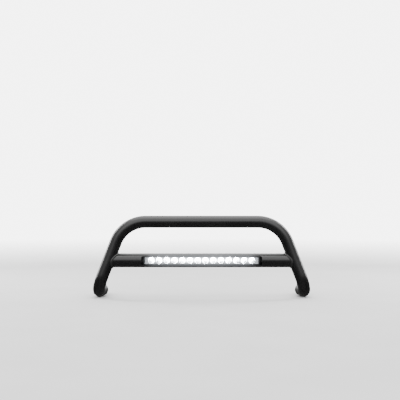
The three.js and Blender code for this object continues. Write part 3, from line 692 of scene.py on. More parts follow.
def powder_coat():
    """Satin black powder coat: orange peel, fine grain, slight gloss changes."""
    m = Surface("powder_coat_satin_black")
    drift = m.noise(9, 2)
    grain = m.noise(2600, 2)
    tone = m.ramp(drift, (0.0045, 0.0045, 0.0047), (0.0065, 0.0065, 0.0067))
    return m.finished(m.mix(m.edges(), tone, (0.012, 0.012, 0.012)),
                      m.add(m.spread(drift, 0.22, 0.27), grain, 0.04),
                      m.bump(m.add(m.noise(520, 2, 0.4), grain, 0.25), 0.00009, 0.5),
                      Specular_IOR_Level=0.5, Coat_Weight=0.25, Coat_Roughness=0.18)


def weld_coat():
    """The same coat over a weld bead, a little thicker and glossier."""
    m = Surface("powder_coat_over_weld")
    lumps = m.noise(260)
    return m.finished(m.ramp(lumps, (0.009, 0.009, 0.009), (0.014, 0.014, 0.014)),
                      m.spread(lumps, 0.28, 0.42), m.bump(m.add(m.noise(700, 2), lumps, 0.6), 0.0002, 0.5),
                      Specular_IOR_Level=0.55, Coat_Weight=0.25, Coat_Roughness=0.15)


def zinc_steel():
    """Bright zinc with bluish and yellowish clouds."""
    m = Surface("zinc_plated_steel")
    cloud = m.noise(160)
    tone = m.mix(m.spread(m.noise(45, 2), 0.0, 1.0), (0.55, 0.56, 0.57), (0.50, 0.53, 0.60))
    return m.finished(m.mix(m.spread(cloud, 0.0, 0.5), tone, (0.62, 0.60, 0.52)),
                      m.spread(cloud, 0.24, 0.42), m.bump(m.noise(1800), 0.00006, 0.5), Metallic=1.0)


def black_steel():
    """Black oxide, worn through to the steel on its edges."""
    m = Surface("black_oxide_steel")
    cloud = m.noise(220)
    base = m.ramp(cloud, (0.018, 0.018, 0.020), (0.034, 0.034, 0.036))
    return m.finished(m.mix(m.edges(), base, (0.10, 0.10, 0.10)), m.spread(cloud, 0.30, 0.48),
                      m.bump(m.noise(1500), 0.00005, 0.5), Metallic=0.85)


def extruded_black():
    """Black anodised aluminium with fine lines along the extrusion."""
    m = Surface("anodised_black_aluminium")
    lines = m.noise(420, 3, 0.6, (0.02, 1, 1))
    fine = m.noise(3000, 2)
    return m.finished(m.ramp(lines, (0.012, 0.012, 0.013), (0.022, 0.022, 0.023)),
                      m.add(m.spread(lines, 0.34, 0.46), fine, 0.06),
                      m.bump(m.add(lines, fine, 0.5), 0.00004, 0.6), Metallic=0.55)


def chromed_plastic():
    """Metallised plastic, slightly hazy."""
    m = Surface("metallised_reflector")
    haze = m.noise(90)
    return m.finished(m.ramp(haze, (0.80, 0.81, 0.82), (0.90, 0.91, 0.92)), m.spread(haze, 0.07, 0.16),
                      m.bump(m.noise(400, 2), 0.00003, 0.4), Metallic=1.0)


def circuit_board(name, tone, trace):
    """Solder mask over woven glass, with a hint of tracks."""
    m = Surface(name)
    weave = m.noise(900)
    tracks = m.noise(300, 0, 0.5, (1, 0.25, 1))
    return m.finished(m.mix(m.spread(tracks, 0.0, 1.0, 0.49, 0.51), tone, trace),
                      m.spread(weave, 0.34, 0.5), m.bump(m.add(weave, tracks, 0.7), 0.00005, 0.6))


def led_phosphor():
    """The lit chips: cool white, slightly grainy."""
    m = Surface("lit_phosphor")
    grain = m.noise(2500, 2)
    return m.finished(m.ramp(grain, (0.9, 0.86, 0.6), (0.98, 0.93, 0.7)), 0.4, m.bump(grain, 0.00003, 0.4),
                      Emission_Color=m.ramp(grain, (0.97, 0.98, 1.0), (1.0, 1.0, 1.0)),
                      Emission_Strength=LED_STRENGTH)


def clear_lens():
    """Clear polycarbonate: mostly see-through, glossy at glancing angles, with a faint haze and a painted
    glow, an even white emission that stands in for the chips' light in it.
    """
    m = Surface("clear_polycarbonate")
    haze = m.noise(60)
    # painted glow: an even white emission on the lens, not light from the chips
    m.finished(m.ramp(haze, (0.80, 0.82, 0.85), (0.88, 0.90, 0.92)), m.spread(haze, 0.05, 0.12),
               m.bump(m.noise(40, 2), 0.00005, 0.3), Specular_IOR_Level=0.6,
               Emission_Color=(1, 1, 1, 1), Emission_Strength=LENS_PAINTED_GLOW)
    glancing = m.make("ShaderNodeFresnel", "Fac", {"IOR": 1.45})
    clear = m.make("ShaderNodeBsdfTransparent", "BSDF", {"Color": (0.93, 0.95, 0.97, 1)})
    amount = m.add(glancing, m.spread(haze, 0.02, 0.06), 1.0)
    m.show("Material Output", amount, clear, m.shader.outputs["BSDF"])
    return m.material


def rubber():
    """Dull black rubber with a pale bloom."""
    m = Surface("black_rubber")
    bloom = m.noise(70, 4)
    return m.finished(m.ramp(bloom, (0.012, 0.012, 0.012), (0.026, 0.026, 0.025)),
                      m.spread(bloom, 0.62, 0.82), m.bump(m.noise(1400), 0.00012, 0.6),
                      Specular_IOR_Level=0.4)


def moulded_plastic():
    """Black plastic with a fine moulded grain."""
    m = Surface("moulded_black_plastic")
    mottle = m.noise(120)
    return m.finished(m.ramp(mottle, (0.014, 0.014, 0.015), (0.024, 0.024, 0.026)),
                      m.spread(mottle, 0.42, 0.56), m.bump(m.noise(1900, 2), 0.0001, 0.5))


COAT = ("powder_coat", powder_coat())
WELD = ("powder_coat", weld_coat())
ZINC = ("zinc_steel", zinc_steel())
BLACK_STEEL = ("black_steel", black_steel())
EXTRUDED = ("cast_aluminium", extruded_black())
CHROME = ("reflector", chromed_plastic())
LED_WHITE = ("led_board", circuit_board("white_led_board", (0.62, 0.63, 0.60), (0.70, 0.71, 0.68)))
DRIVER_GREEN = ("driver_board", circuit_board("green_driver_board", (0.02, 0.10, 0.05), (0.04, 0.16, 0.08)))
PHOSPHOR = ("led_board", led_phosphor())
LENS = ("lens", clear_lens())
RUBBER = ("rubber", rubber())
PLASTIC = ("black_plastic", moulded_plastic())


# ---- hoop

def build_hoop():
    sides = 80
    rim = 0.8
    bore = TUBE_R - TUBE_WALL
    ring_at = HOOP.ring_maker(HOOP_UP, sides)
    last = len(HOOP.places) - 1
    mouth = ((TUBE_R, rim), (TUBE_R - rim * 0.3, rim * 0.3), (TUBE_R - rim, 0),
             (bore + rim, 0), (bore + rim * 0.3, rim * 0.3), (bore, rim))
    half = [ring_at(i, TUBE_R) for i in range(last)]
    half += [ring_at(last, radius) - HOOP.headings[last] * back for radius, back in mouth]
    half += [ring_at(i, bore) for i in range(last - 1, -1, -1)]
    whole = half + [ring * vec(-1, 1, 1) for ring in reversed(half[1:-1])]
    hoop = mesh_object("hoop", np.vstack(whole), rings_to_faces(len(whole), sides, wrap=True))
    return combine(hoop, [tab_slot_cutter(side) for _, side in SIDES], "DIFFERENCE")


def tab_slot_cutter(side):
    half = TAB_THICKNESS / 2 + 0.2
    reach = TUBE_R + 6
    outline = outline_of([(-half, -TAB_INSERTED, half * 0.98), (half, -TAB_INSERTED, half * 0.98),
                          (half, 10, 0), (-half, 10, 0)])
    points = [(x, y, z) for z in (-reach, reach) for x, y in outline]
    faces = rings_to_faces(2, len(outline), capped=True)
    return mesh_object("slot_cutter", placed(points, foot_matrix(side)), faces)


finish_piece(build_hoop(), "guard", COAT, "hoop_tube")


# ---- crossbar

CROSS_ANGLES = np.linspace(-pi / 2, 1.5 * pi, 105)       # measured from the front, upward
BACK_V = pi * CROSS_R                                    # the middle of the back wall


def cope(y, z):
    """x where a line along the left end of the cross tube meets the leg, and where it meets the trim
    plane; the line ends at the nearer one. y and z are measured from the tube's axis."""
    dy = y + CROSS_Y - LEG_AT_CROSS[1]
    along = dy * LEG[1] + z * LEG[2]
    a = 1 - LEG[0] ** 2
    b = -2 * LEG[0] * along
    c = dy ** 2 + z ** 2 - along ** 2 - TUBE_R ** 2
    inner = b * b - 4 * a * c
    on_leg = (-b - sqrt(inner)) / (2 * a) if inner > 0 else inf
    on_plane = (-CROSS_TRIM - z * sin(CROSS_LEAN)) / cos(CROSS_LEAN)
    return LEG_AT_CROSS[0] + on_leg, LEG_AT_CROSS[0] + on_plane


def cross_point(u, v, depth):
    """u along the tube, v round it as arc length on its outside, from the front upward."""
    angle = v / CROSS_R
    r = CROSS_R - depth
    return vec(u, CROSS_Y - r * cos(angle), CROSS_Z + r * sin(angle))


def end_chain(side):
    """A coped end, upward on the left and downward on the right."""
    def chain(depth):
        r = CROSS_R - depth
        points = [(side * min(cope(-r * cos(a), r * sin(a))), a * CROSS_R) for a in CROSS_ANGLES]
        return np.array(points if side == LEFT else points[::-1])
    return chain, False, True


def seam_chain(xs, angle):
    """A line along the tube, where the sheet's two long edges meet."""
    points = np.stack([xs, np.full(len(xs), angle * CROSS_R)], 1)
    return (lambda depth: points), False, False


def window_chain(depth):
    """Straight through along Y, so that the opening is as high inside as outside."""
    outline = rectangle(*WINDOW_HALF, WINDOW_CORNER_R, spacing=4)
    return np.array([(x, CROSS_R * asin(z / (CROSS_R - depth))) for x, z in outline])[::-1]


def build_crossbar():
    """One rolled sheet: its outline runs down the right end, along, up the left end and back."""
    end = min(cope(0, -CROSS_R))
    stations = np.linspace(-end, end, 80)[1:-1]
    chains = [end_chain(RIGHT), seam_chain(stations, CROSS_ANGLES[0]),
              end_chain(LEFT), seam_chain(stations[::-1], CROSS_ANGLES[-1]),
              (window_chain, True, True), circle(CABLE_X, BACK_V, GROMMET_HOLE_R)]
    chains += [circle(side * x, BACK_V, SCREW_HOLE_R, 20) for x in SCREW_STATIONS for _, side in SIDES]
    xs = np.linspace(-LEG_AT_CROSS[0], LEG_AT_CROSS[0], 82)
    grid = np.array([(x, a * CROSS_R) for x in xs for a in CROSS_ANGLES[1:-1]])
    return round_shading(sheet("crossbar", chains, CROSS_WALL, cross_point, grid, 0.6, outer_count=4))


def round_shading(tube):
    """Gives the tube's two round walls exact normals, whatever their triangles; rims keep their own."""
    mesh = tube.data
    normals = []
    for vertex, normal in zip(mesh.vertices, mesh.vertex_normals):
        across = vec(0, vertex.co.y, vertex.co.z) / MM - vec(0, CROSS_Y, CROSS_Z)
        radius = np.linalg.norm(across)
        if abs(radius - CROSS_R) < 0.01:
            normals.append(across / radius)
        elif abs(radius - CROSS_R + CROSS_WALL) < 0.01:
            normals.append(-across / radius)
        else:
            normals.append(normal.vector)
    mesh.normals_split_custom_set_from_vertices(normals)
    return tube


finish_piece(build_crossbar(), "guard", COAT, "crossbar_tube")


# ---- weld beads

RIPPLE = 2.3
BEAD_POINTS = 9
BEAD_SINK = 0.8                          # depth of a bead's root in its joint
BEAD_CROWN = 0.10                        # these two are shares of the bead's width
RIPPLE_CROWN = 0.075
RIPPLE_BOW = 0.55                        # from a crescent's middle to its toes, in ripples


def bead(name, places, side_a, side_b, width):
    """A fillet bead along `places`, from a toe towards side_a to a toe towards side_b at each place,
    with the crescent ripples a weld leaves and tapered ends."""
    lengths = np.concatenate([[0], np.cumsum(np.linalg.norm(np.diff(places, axis=0), axis=1))])
    stations = np.linspace(0, lengths[-1], max(8, int(lengths[-1] / (RIPPLE / 5))))
    resampled = [np.stack([np.interp(stations, lengths, column) for column in values.T], 1)
                 for values in (places, side_a, side_b)]
    rows = []
    for s, p, a, b in zip(stations, *resampled):
        reach = width * min(1.0, 0.35 + min(s, lengths[-1] - s) / (1.6 * width))
        out = unit(a + b)
        span = np.linalg.norm(a - b) * reach
        row = [p - out * BEAD_SINK]
        for t in np.linspace(0, 1, BEAD_POINTS):
            bow = 4 * t * (1 - t)
            ripple = (1 - (s / RIPPLE + RIPPLE_BOW * bow) % 1.0) ** 0.7
            lift = span * (BEAD_CROWN + RIPPLE_CROWN * ripple) * bow + 0.2 * bow - 0.1
            row.append(p + (a * (1 - t) + b * t) * reach + out * lift)
        rows.append(row)
    return mesh_object(name, np.vstack(rows), rings_to_faces(len(rows), BEAD_POINTS + 1, capped=True), 60)


def cope_weld(side):
    """The bead where the cross tube meets the leg: over the top, down the front and underneath."""
    rows = []
    for angle in np.linspace(-pi * 0.62, pi * 0.62, 220):
        tube_normal = vec(0, -cos(angle), sin(angle))
        on_leg, on_plane = cope(*tube_normal[1:] * CROSS_R)
        if on_leg > on_plane + 0.6:
            continue
        place = vec(on_leg, CROSS_Y, CROSS_Z) + tube_normal * CROSS_R
        from_axis = place - LEG_AT_CROSS
        leg_normal = unit(from_axis - LEG * (from_axis @ LEG))
        seam = unit(np.cross(leg_normal, tube_normal))
        along_tube = unit(np.cross(tube_normal, seam))
        along_leg = unit(np.cross(leg_normal, seam))
        rows.append((place, along_tube * np.sign(along_tube @ leg_normal),
                     along_leg * np.sign(along_leg @ tube_normal)))
    return mirrored(side, rows)


def rim_weld(side):
    """The bead that seals the closing plate to the back of the cross tube's end."""
    rows = []
    outward = vec(cos(CROSS_LEAN), 0, sin(CROSS_LEAN))
    for angle in np.linspace(pi * 0.5, pi * 1.5, 160):
        radial = vec(0, -cos(angle), sin(angle))
        rim = radial * (CROSS_R - CROSS_WALL / 2)
        on_leg, on_plane = cope(*rim[1:])
        if on_leg >= on_plane + 2:
            rows.append((vec(on_plane, CROSS_Y, CROSS_Z) + rim - outward * 0.6,
                         unit(radial * 0.9 + outward * 0.45), unit(outward * 0.45 - radial * 0.9)))
    return mirrored(side, rows)


def tab_weld(side, up):
    """The cap bead over a foot's slot, along the edge of the tab that fills it."""
    matrix = foot_matrix(side)
    stations = np.linspace(-TAB_INSERTED - 1, -2, 30)
    places = placed([(0, y, up * (TUBE_R - 1.2)) for y in stations], matrix)
    toes = [np.array(matrix)[:3, :3] @ unit(vec(x, 0, up * 0.28)) for x in (-1, 1)]
    return places, *(np.tile(toe, (len(stations), 1)) for toe in toes)


for word, side in SIDES:
    finish_piece(bead(f"{word}_crossbar_weld", *cope_weld(side), 5.2), "guard", WELD)
    finish_piece(bead(f"{word}_closing_weld", *rim_weld(side), 3.0), "guard", WELD)
    for end, up in (("upper", 1), ("lower", -1)):
        finish_piece(bead(f"{word}_tab_weld_{end}", *tab_weld(side, up), 4.6), "guard", WELD)


# ---- closing plates, tabs and brackets

def closing_plate(name, side):
    """Fills the back of the cross tube's end behind the leg, parallel to the leg. u is y behind the
    tube's axis and v runs down the leg; the leg's edge is a line and the tube's is an ellipse."""
    radius = CROSS_R - CROSS_WALL - 0.1
    lean_x, lean_z = cos(CROSS_LEAN), sin(CROSS_LEAN)
    chord = sqrt((TUBE_R + 0.1) ** 2 - CROSS_TRIM ** 2)
    slope = LEG[1] / hypot(LEG[0], LEG[2])
    leg_edge = LEG_AT_CROSS[1] - CROSS_Y + chord * sqrt(1 + slope ** 2)
    rim = [(radius * cos(a), radius * sin(a) / lean_x) for a in np.linspace(-pi / 2, pi / 2, 121)]
    rim = np.array([(u, v) for u, v in rim if u > leg_edge + slope * v])
    line = [rim[-1] + (rim[0] - rim[-1]) * k / 24 for k in range(1, 24)]
    outline = np.vstack([rim, line])
    if area(outline) < 0:
        outline = outline[::-1]

    def place(u, v, depth):
        along = -(CROSS_TRIM + depth)
        return vec(side * (LEG_AT_CROSS[0] + along * lean_x + v * lean_z), CROSS_Y + u,
                   CROSS_Z + along * lean_z - v * lean_x)

    return weighted(sheet(name, [outline], 3, place, grid_of(0, radius, -radius, radius, 6, 6), 0.3))


def foot_tab(name, side):
    outline = outline_of([(-TAB_INSERTED, -TAB_HALF_HEIGHT, 1), (TAB_REACH, -TAB_HALF_HEIGHT, TAB_CORNER_R),
                          (TAB_REACH, TAB_HALF_HEIGHT, TAB_CORNER_R), (-TAB_INSERTED, TAB_HALF_HEIGHT, 1)])
    chains = [outline] + [circle(y, 0, BOLT_HOLE_R) for y in BOLT_STATIONS]

    def place(u, v, depth):
        return placed((depth - TAB_THICKNESS / 2, u, v), foot_matrix(side))[0]

    grid = grid_of(-TAB_INSERTED, TAB_REACH, -TAB_HALF_HEIGHT, TAB_HALF_HEIGHT, 8, 8)
    return weighted(sheet(name, chains, TAB_THICKNESS, place, grid, 0.7))


def frame_bracket(name, side):
    """One plate folded outboard: u runs back along the side plate, round the fold and across the flange."""
    fold = pi / 2 + TOE_IN
    start = placed((BRACKET_FACE, BRACKET_START, 0), foot_matrix(LEFT))[0]
    to_corner = (DEPTH / 2 - start[1]) / FOOT[1]
    tangent = BRACKET_FOLD_R * tan(fold / 2)
    run = to_corner - tangent
    bend = BRACKET_FOLD_R * fold
    total = run + bend + 1 + FLANGE_WIDTH - tangent
    low, high = FLANGE_LOW, FLANGE_HIGH

    def place(u, v, depth):
        back, out = folded(u, depth, run, BRACKET_FOLD_R, fold)
        point = start + FOOT * back + OUTBOARD * out
        return vec(side * point[0], point[1], v)

    outline = outline_of([(0, low, 3), (total, low, 5), (total, high, 5),
                          (to_corner - BRACKET_SLOPE[1], high, 6),
                          (to_corner - BRACKET_SLOPE[0], BRACKET_NOSE, 6), (0, BRACKET_NOSE, 5)], 2)
    chains = [outline]
    chains += [slot_hole(y - BRACKET_START, TUBE_R, 6, BOLT_HOLE_R) for y in BOLT_STATIONS]
    flange_middle = total - (FLANGE_WIDTH - PLATE) / 2
    chains += [slot_hole(flange_middle, (low + high) / 2 + z, 5.5, 6.5, upright=True)
               for z in (-FLANGE_SLOT_Z, FLANGE_SLOT_Z)]
    grid = fold_grid(run, bend, total, low, high, 7, (1.4, 4), 2)
    return weighted(sheet(name, chains, PLATE, place, grid, 0.7))


for word, side in SIDES:
    finish_piece(closing_plate(f"{word}_closing", side), "guard", COAT, f"{word}_crossbar_closing_plate")
    finish_piece(foot_tab(f"{word}_tab", side), "guard", COAT, f"{word}_foot_tab")
    finish_piece(frame_bracket(f"{word}_bracket", side), "guard", COAT, f"{word}_frame_bracket")


# ---- foot bolts: heights run outboard from the middle of the tab

HEAD_ACROSS = 18
SHANK_R = 6
PITCH = 1.75
WASHER_LOW = -TAB_THICKNESS / 2 - 0.3 - 2.5
HEAD_TOP = WASHER_LOW - 0.3
HEAD_LOW = HEAD_TOP - 7.5
LOCK_LOW = BRACKET_FACE + PLATE + 0.3
NUT_LOW = LOCK_LOW + 3 + 0.3
NUT_HIGH = NUT_LOW + 10.5
BOLT_TIP = NUT_HIGH + 5
HEX = hex_radius(HEAD_ACROSS)
HEX_FLAT = HEAD_ACROSS / 2 * 0.96


def hex_bolt(name, matrix):
    """Head inboard (low), shank outward, rolled thread and a chamfered tip."""
    thread_start = LOCK_LOW - 4
    rings = [(2.0, HEAD_LOW + 0.5), (5.6, HEAD_LOW + 0.5), (6.0, HEAD_LOW), (HEX_FLAT - 0.4, HEAD_LOW),
             (lambda a: min(HEX(a), HEX_FLAT), HEAD_LOW + 0.05),
             (HEX, hex_chamfer(HEAD_ACROSS, HEAD_LOW + 0.25, -1)),
             (HEX, HEAD_TOP - 0.7), (lambda a: HEX(a) - 0.15, HEAD_TOP - 0.5), (8.6, HEAD_TOP - 0.5),
             (8.5, HEAD_TOP), (SHANK_R + 0.5, HEAD_TOP), (SHANK_R, HEAD_TOP + 0.5),
             (SHANK_R, thread_start - 0.6)]
    rings += thread(SHANK_R - 0.95, 0.9, PITCH, thread_start, BOLT_TIP - 1 - thread_start)
    rings += [(SHANK_R - 1.0, BOLT_TIP - 0.9), (SHANK_R - 1.9, BOLT_TIP)]
    return turned(name, rings, matrix)


def flat_washer(name, matrix):
    return turned(name, washer_rings(12, SHANK_R + 0.4, WASHER_LOW, WASHER_LOW + 2.5), matrix, 56, True)


def split_washer(name, matrix):
    """A spring washer: a ring with a slanted cut and slightly sprung ends."""
    sides = 60
    half_gap, slant, spring, thick = 0.09, 0.06, 0.22, 3.0
    section = washer_rings(10.5, SHANK_R + 0.3, 0, thick, 0.35)
    points = []
    for t in np.linspace(0, 1, sides + 1):
        for r, h in section:
            a = pi / 2 + half_gap + t * (TAU - 2 * half_gap) + slant * (h / thick - 0.5)
            points.append((r * cos(a), r * sin(a), LOCK_LOW + h + spring * (t - 0.5)))
    faces = rings_to_faces(sides + 1, len(section), capped=True)
    return mesh_object(name, placed(points, matrix), faces)


def hex_nut(name, matrix):
    bore = SHANK_R + 0.25
    rings = [(bore + 0.7, NUT_LOW), (HEX_FLAT - 0.2, NUT_LOW),
             (HEX, hex_chamfer(HEAD_ACROSS, NUT_LOW + 0.3, -1)),
             (HEX, hex_chamfer(HEAD_ACROSS, NUT_HIGH - 0.3, 1)),
             (HEX_FLAT - 0.2, NUT_HIGH), (bore + 0.7, NUT_HIGH), (bore, NUT_HIGH - 0.7),
             (bore, NUT_LOW + 0.7)]
    return turned(name, rings, matrix, hollow=True)


BOLT_SET = ((hex_bolt, "bolt"), (flat_washer, "washer"), (split_washer, "lock_washer"), (hex_nut, "nut"))

for word, side in SIDES:
    for end, station in zip(("front", "rear"), BOLT_STATIONS):
        # the right foot's bolts are turned, not mirrored, so that their threads stay right-handed
        seat = foot_matrix(side) @ move(0, station, 0) @ turn(0 if side == LEFT else pi, "Z") @ Z_TO_X
        for build, node in BOLT_SET:
            piece = weighted(build(f"{word}_{end}_{build.__name__}", seat))
            finish_piece(piece, "guard", ZINC, f"{word}_{end}_{node}")


# ---- light bar

def facing_front(plane):
    """Places sheet points on the light: u along X, v up, depth backward from a plane."""
    return lambda u, v, depth: vec(u, CROSS_Y + plane + depth, CROSS_Z + v)


def build_lens():
    grid = grid_of(-LENS_HALF, LENS_HALF, -LENS_HALF_HEIGHT, LENS_HALF_HEIGHT, 12, 6)
    outline = rectangle(LENS_HALF, LENS_HALF_HEIGHT, 1.2, 6)
    return weighted(sheet("clear_lens", [outline], LENS_BACK - LENS_FRONT, facing_front(LENS_FRONT), grid))


def build_reflector():
    """A bright tray with a parabolic cup round each emitter."""
    depth = TRAY_BACK - TRAY_FRONT
    vertex = depth * CUP_R ** 2 / (CUP_R ** 2 - THROAT_R ** 2)

    def cup(x):
        """Its radius squared grows in proportion to the distance from the cup's vertex."""
        return (lambda d: circle(x, 0, CUP_R * sqrt(1 - d / vertex), 48)), True, True

    chains = [rectangle(LENS_HALF, TRAY_HALF_HEIGHT, 0.4, 5)] + [cup(x) for x in LED_PLACES]
    levels = [(0, depth * s / 10) for s in range(11)]
    return sheet("reflector", chains, depth, facing_front(TRAY_FRONT), NO_GRID, levels=levels, sharp=35)


def build_led_board():
    screws = [circle(x + LED_PITCH / 2, z, 1.6, 16) for x in LED_PLACES[:-1:3] for z in (-12, 12)]
    chains = [rectangle(LENS_HALF, BOARD_HALF_HEIGHT, 1, 8)] + screws
    grid = grid_of(-LENS_HALF, LENS_HALF, -BOARD_HALF_HEIGHT, BOARD_HALF_HEIGHT, 14, 8)
    return weighted(sheet("emitter_board", chains, 1.6, facing_front(BOARD_FRONT), grid, 0.15))


def build_chips(name, rings):
    """The same rings on every emitter's place, facing forward."""
    seats = [ON_AXIS @ move(x, BOARD_FRONT, 0) @ turn(pi / 2, "X") for x in LED_PLACES]
    return joined(name, [turned("chip", rings, seat, 32) for seat in seats])


def carry(node, finish, width):
    """A CAD node shown as it is, with fine rounded edges."""
    obj = frame["nodes"][node]
    obj.modifiers.new("weld", "WELD").merge_threshold = 0.01 * MM
    bevel = obj.modifiers.new("edges", "BEVEL")
    bevel.width = width * MM
    bevel.segments = 2
    bevel.limit_method = "ANGLE"
    bevel.angle_limit = radians(40)
    bevel.harden_normals = True
    obj.data.materials.clear()
    obj.data.materials.append(finish[1])


def end_plate(name, side):
    """The end of the light bar in (y, z): square at the front, cut back to the fin tips behind."""
    h = LIGHT_HALF_HEIGHT
    tip = sqrt(COVER_R ** 2 - h ** 2)
    shoulder = sqrt(COVER_R ** 2 - COVER_BACK ** 2)
    outline = outline_of([(LIGHT_FRONT, -h, 1.5), (tip, -h, 2), (COVER_BACK, -shoulder, 2),
                          (COVER_BACK, shoulder, 2), (tip, h, 2), (LIGHT_FRONT, h, 1.5)], 2)
    holes = [circle(y, z, 1.8, 20) for _, y, z in END_SCREW_PLACES] + [circle(0, 0, PIVOT_HOLE_R, 24)]
    grid = grid_of(LIGHT_FRONT, COVER_BACK, -20, 20, 6, 6)

    def place(u, v, depth):
        return vec(side * (LIGHT_HALF - depth), CROSS_Y + u, CROSS_Z + v)

    return weighted(sheet(name, [outline] + holes, 6, place, grid, 0.6))


def button_screw(name, matrix, length, head_r, head_h, shank_r, socket_r, pitch):
    """A domed head above 0 along Z with a hexagonal socket, threaded shank below."""
    hexagon = hex_radius(2 * socket_r * cos(pi / 6))
    rings = [(shank_r * 0.5, -length), (shank_r * 0.85, -length + 0.4)]
    rings += thread(shank_r * 0.86, shank_r * 0.14, pitch, -length + 0.5, length - 2.0, 6)
    rings += [(shank_r, -1.2), (shank_r, 0), (head_r, 0.15)]
    rings += [(head_r * r, head_h * h) for r, h in ((1, 0.35), (0.93, 0.7), (0.78, 0.93), (0.62, 1))]
    rings += [(lambda a: hexagon(a) + 0.15, head_h), (hexagon, head_h - 0.15), (hexagon, head_h * 0.45),
              (0.1, head_h * 0.35)]
    return turned(name, rings, matrix, 36)


END_SCREW = {"head_r": 2.8, "head_h": 1.4, "shank_r": 1.5, "socket_r": 1.3, "pitch": 0.5}
TILT_BOLT = {"head_r": 5.4, "head_h": 3.2, "shank_r": 3.0, "socket_r": 2.2, "pitch": 1.0}
BRACKET_SCREW = {"head_r": 5.5, "head_h": 3.2, "shank_r": 3.0, "socket_r": 2.0, "pitch": 1.0}
END_SCREW_PLACES = (("upper", 5.5, 15.6), ("lower", 5.5, -15.6))


def light_matrix(side, x, y=0.0, z=0.0):
    """Along X, outboard on either side; y and z are from the tilt axis."""
    return ON_AXIS @ move(side * x, y, z) @ turn(side * pi / 2, "Y")


def build_light_end(word, side):
    """End cover, its screws and the pivot's spacer, washer and bolt."""
    carry(f"{word}_end_gasket", RUBBER, 0.15)
    finish_piece(end_plate(f"{word}_end_cover", side), "light", EXTRUDED, f"{word}_end_plate")
    for end, y, z in END_SCREW_PLACES:
        seat = light_matrix(side, LIGHT_HALF + 0.05, y, z)
        screw = button_screw(f"{word}_cover_screw_{end}", seat, 13.5, **END_SCREW)
        finish_piece(screw, "light", BLACK_STEEL, f"{word}_end_screw_{end}")
    washer_face = EAR_FACE + EAR_THICKNESS + 0.3
    for piece, node, finish, x, thickness, edge in (
            ("spacer", "pivot_spacer", PLASTIC, LIGHT_HALF + 0.2, 1, 0.2),
            ("tilt_washer", "pivot_washer", BLACK_STEEL, washer_face, 1.2, 0.25)):
        rings = washer_rings(6.2, 3.4, 0, thickness, edge)
        ring = turned(f"{word}_{piece}", rings, light_matrix(side, x), 40, hollow=True)
        finish_piece(ring, "light", finish, f"{word}_{node}")
    head = washer_face + 1.3
    bolt = button_screw(f"{word}_tilt_bolt", light_matrix(side, head), head - LIGHT_HALF + 5.5, **TILT_BOLT)
    finish_piece(bolt, "light", BLACK_STEEL, f"{word}_pivot_bolt")


CHIP_BASE = ((0.2, 0), (square(2.6), 0), (square(2.6), 0.5), (square(2.45), 0.62), (0.2, 0.62))
CHIP_DOME = ((0.2, 0.62), (square(2.1), 0.62), (square(2.1), 0.8), (square(1.9), 1.15),
             (square(1.3), 1.38), (0.2, 1.45))

finish_piece(build_lens(), "light", LENS, "lens")
finish_piece(build_reflector(), "light", CHROME, "reflector_tray")
finish_piece(build_led_board(), "light", LED_WHITE, "led_board")
finish_piece(build_chips("chip_bases", CHIP_BASE), "light", LED_WHITE)
finish_piece(build_chips("chip_domes", CHIP_DOME), "light", PHOSPHOR)
carry("light_housing", EXTRUDED, 0.25)
carry("driver_board", DRIVER_GREEN, 0.15)
carry("lens_gasket", RUBBER, 0.15)
for word, side in SIDES:
    build_light_end(word, side)


# ---- light brackets and their screws

def lamp_bracket(name, side):
    """A strip folded square: the foot against the tube's back wall, then the ear with the tilt hole."""
    radius = 5.0
    start, back = 271.0, 31.2
    run = EAR_FACE + EAR_THICKNESS - radius - start
    bend = radius * pi / 2
    total = run + bend + back - radius - EAR_FRONT
    half = EAR_HALF_HEIGHT

    def place(u, v, depth):
        out, forward = folded(u, depth, run, radius, pi / 2)
        return vec(side * (start + out), CROSS_Y + back - forward, CROSS_Z + v)

    outline = outline_of([(0, -half, 2), (total, -half, half * 0.999), (total, half, half * 0.999),
                          (0, half, 2)], 1.5)
    places = [x - start for x in SCREW_STATIONS] + [total + EAR_FRONT]
    chains = [outline] + [circle(u, 0, PIVOT_HOLE_R, 24) for u in places]
    grid = fold_grid(run, bend, total, -half, half, 5, (1, 3), 1)
    return weighted(sheet(name, chains, EAR_THICKNESS, place, grid, 0.35))


for word, side in SIDES:
    bracket = lamp_bracket(f"{word}_lamp_bracket", side)
    finish_piece(bracket, "guard", BLACK_STEEL, f"{word}_light_bracket")
    for end, x in zip(("inner", "outer"), SCREW_STATIONS):
        seat = ON_AXIS @ move(side * x, CROSS_R + 0.1, 0) @ Z_TO_Y
        screw = button_screw(f"{word}_button_screw_{end}", seat, 10, **BRACKET_SCREW)
        finish_piece(screw, "guard", ZINC, f"{word}_bracket_screw_{end}")


# ---- gland, vent, cable and its fittings

def facing_back(name, x, rings, sides):
    """A hollow turned piece on the tilt axis, its heights running back from it."""
    return turned(name, rings, ON_AXIS @ move(x, 0, 0) @ Z_TO_Y, sides, hollow=True)


def build_gland():
    """Body with a hexagonal flange, and a ribbed clamping nut."""
    bore = CABLE_R + 0.25
    hexagon = hex_radius(15)
    rib = ribbed(6.8, 0.18, 12)
    rings = [(bore, -4), (5.9, -4), (5.9, 0.2), (hexagon, 0.2), (hexagon, 4.6),
             (lambda a: hexagon(a) * 0.94, 5.0), (6.3, 5.0), (6.3, 5.6), (rib, 5.8), (rib, 9.2), (5.2, 11.2),
             (4.6, 12), (bore, 12)]
    return facing_back("gland", CABLE_X, [(r, FIN_ROOT + h) for r, h in rings], 60)


def build_vent():
    """A knurled cap on a short stem."""
    knurl = ribbed(5.9, 0.1, 18)
    rings = [(0.8, -3), (3.9, -3), (3.9, 0.2), (knurl, 0.2), (knurl, 2.4), (5.2, 3.2), (4.6, 3.5),
             (1.6, 3.5), (0.8, 3.2)]
    return facing_back("vent_cap", VENT_X, [(r, FIN_ROOT + h) for r, h in rings], 60)


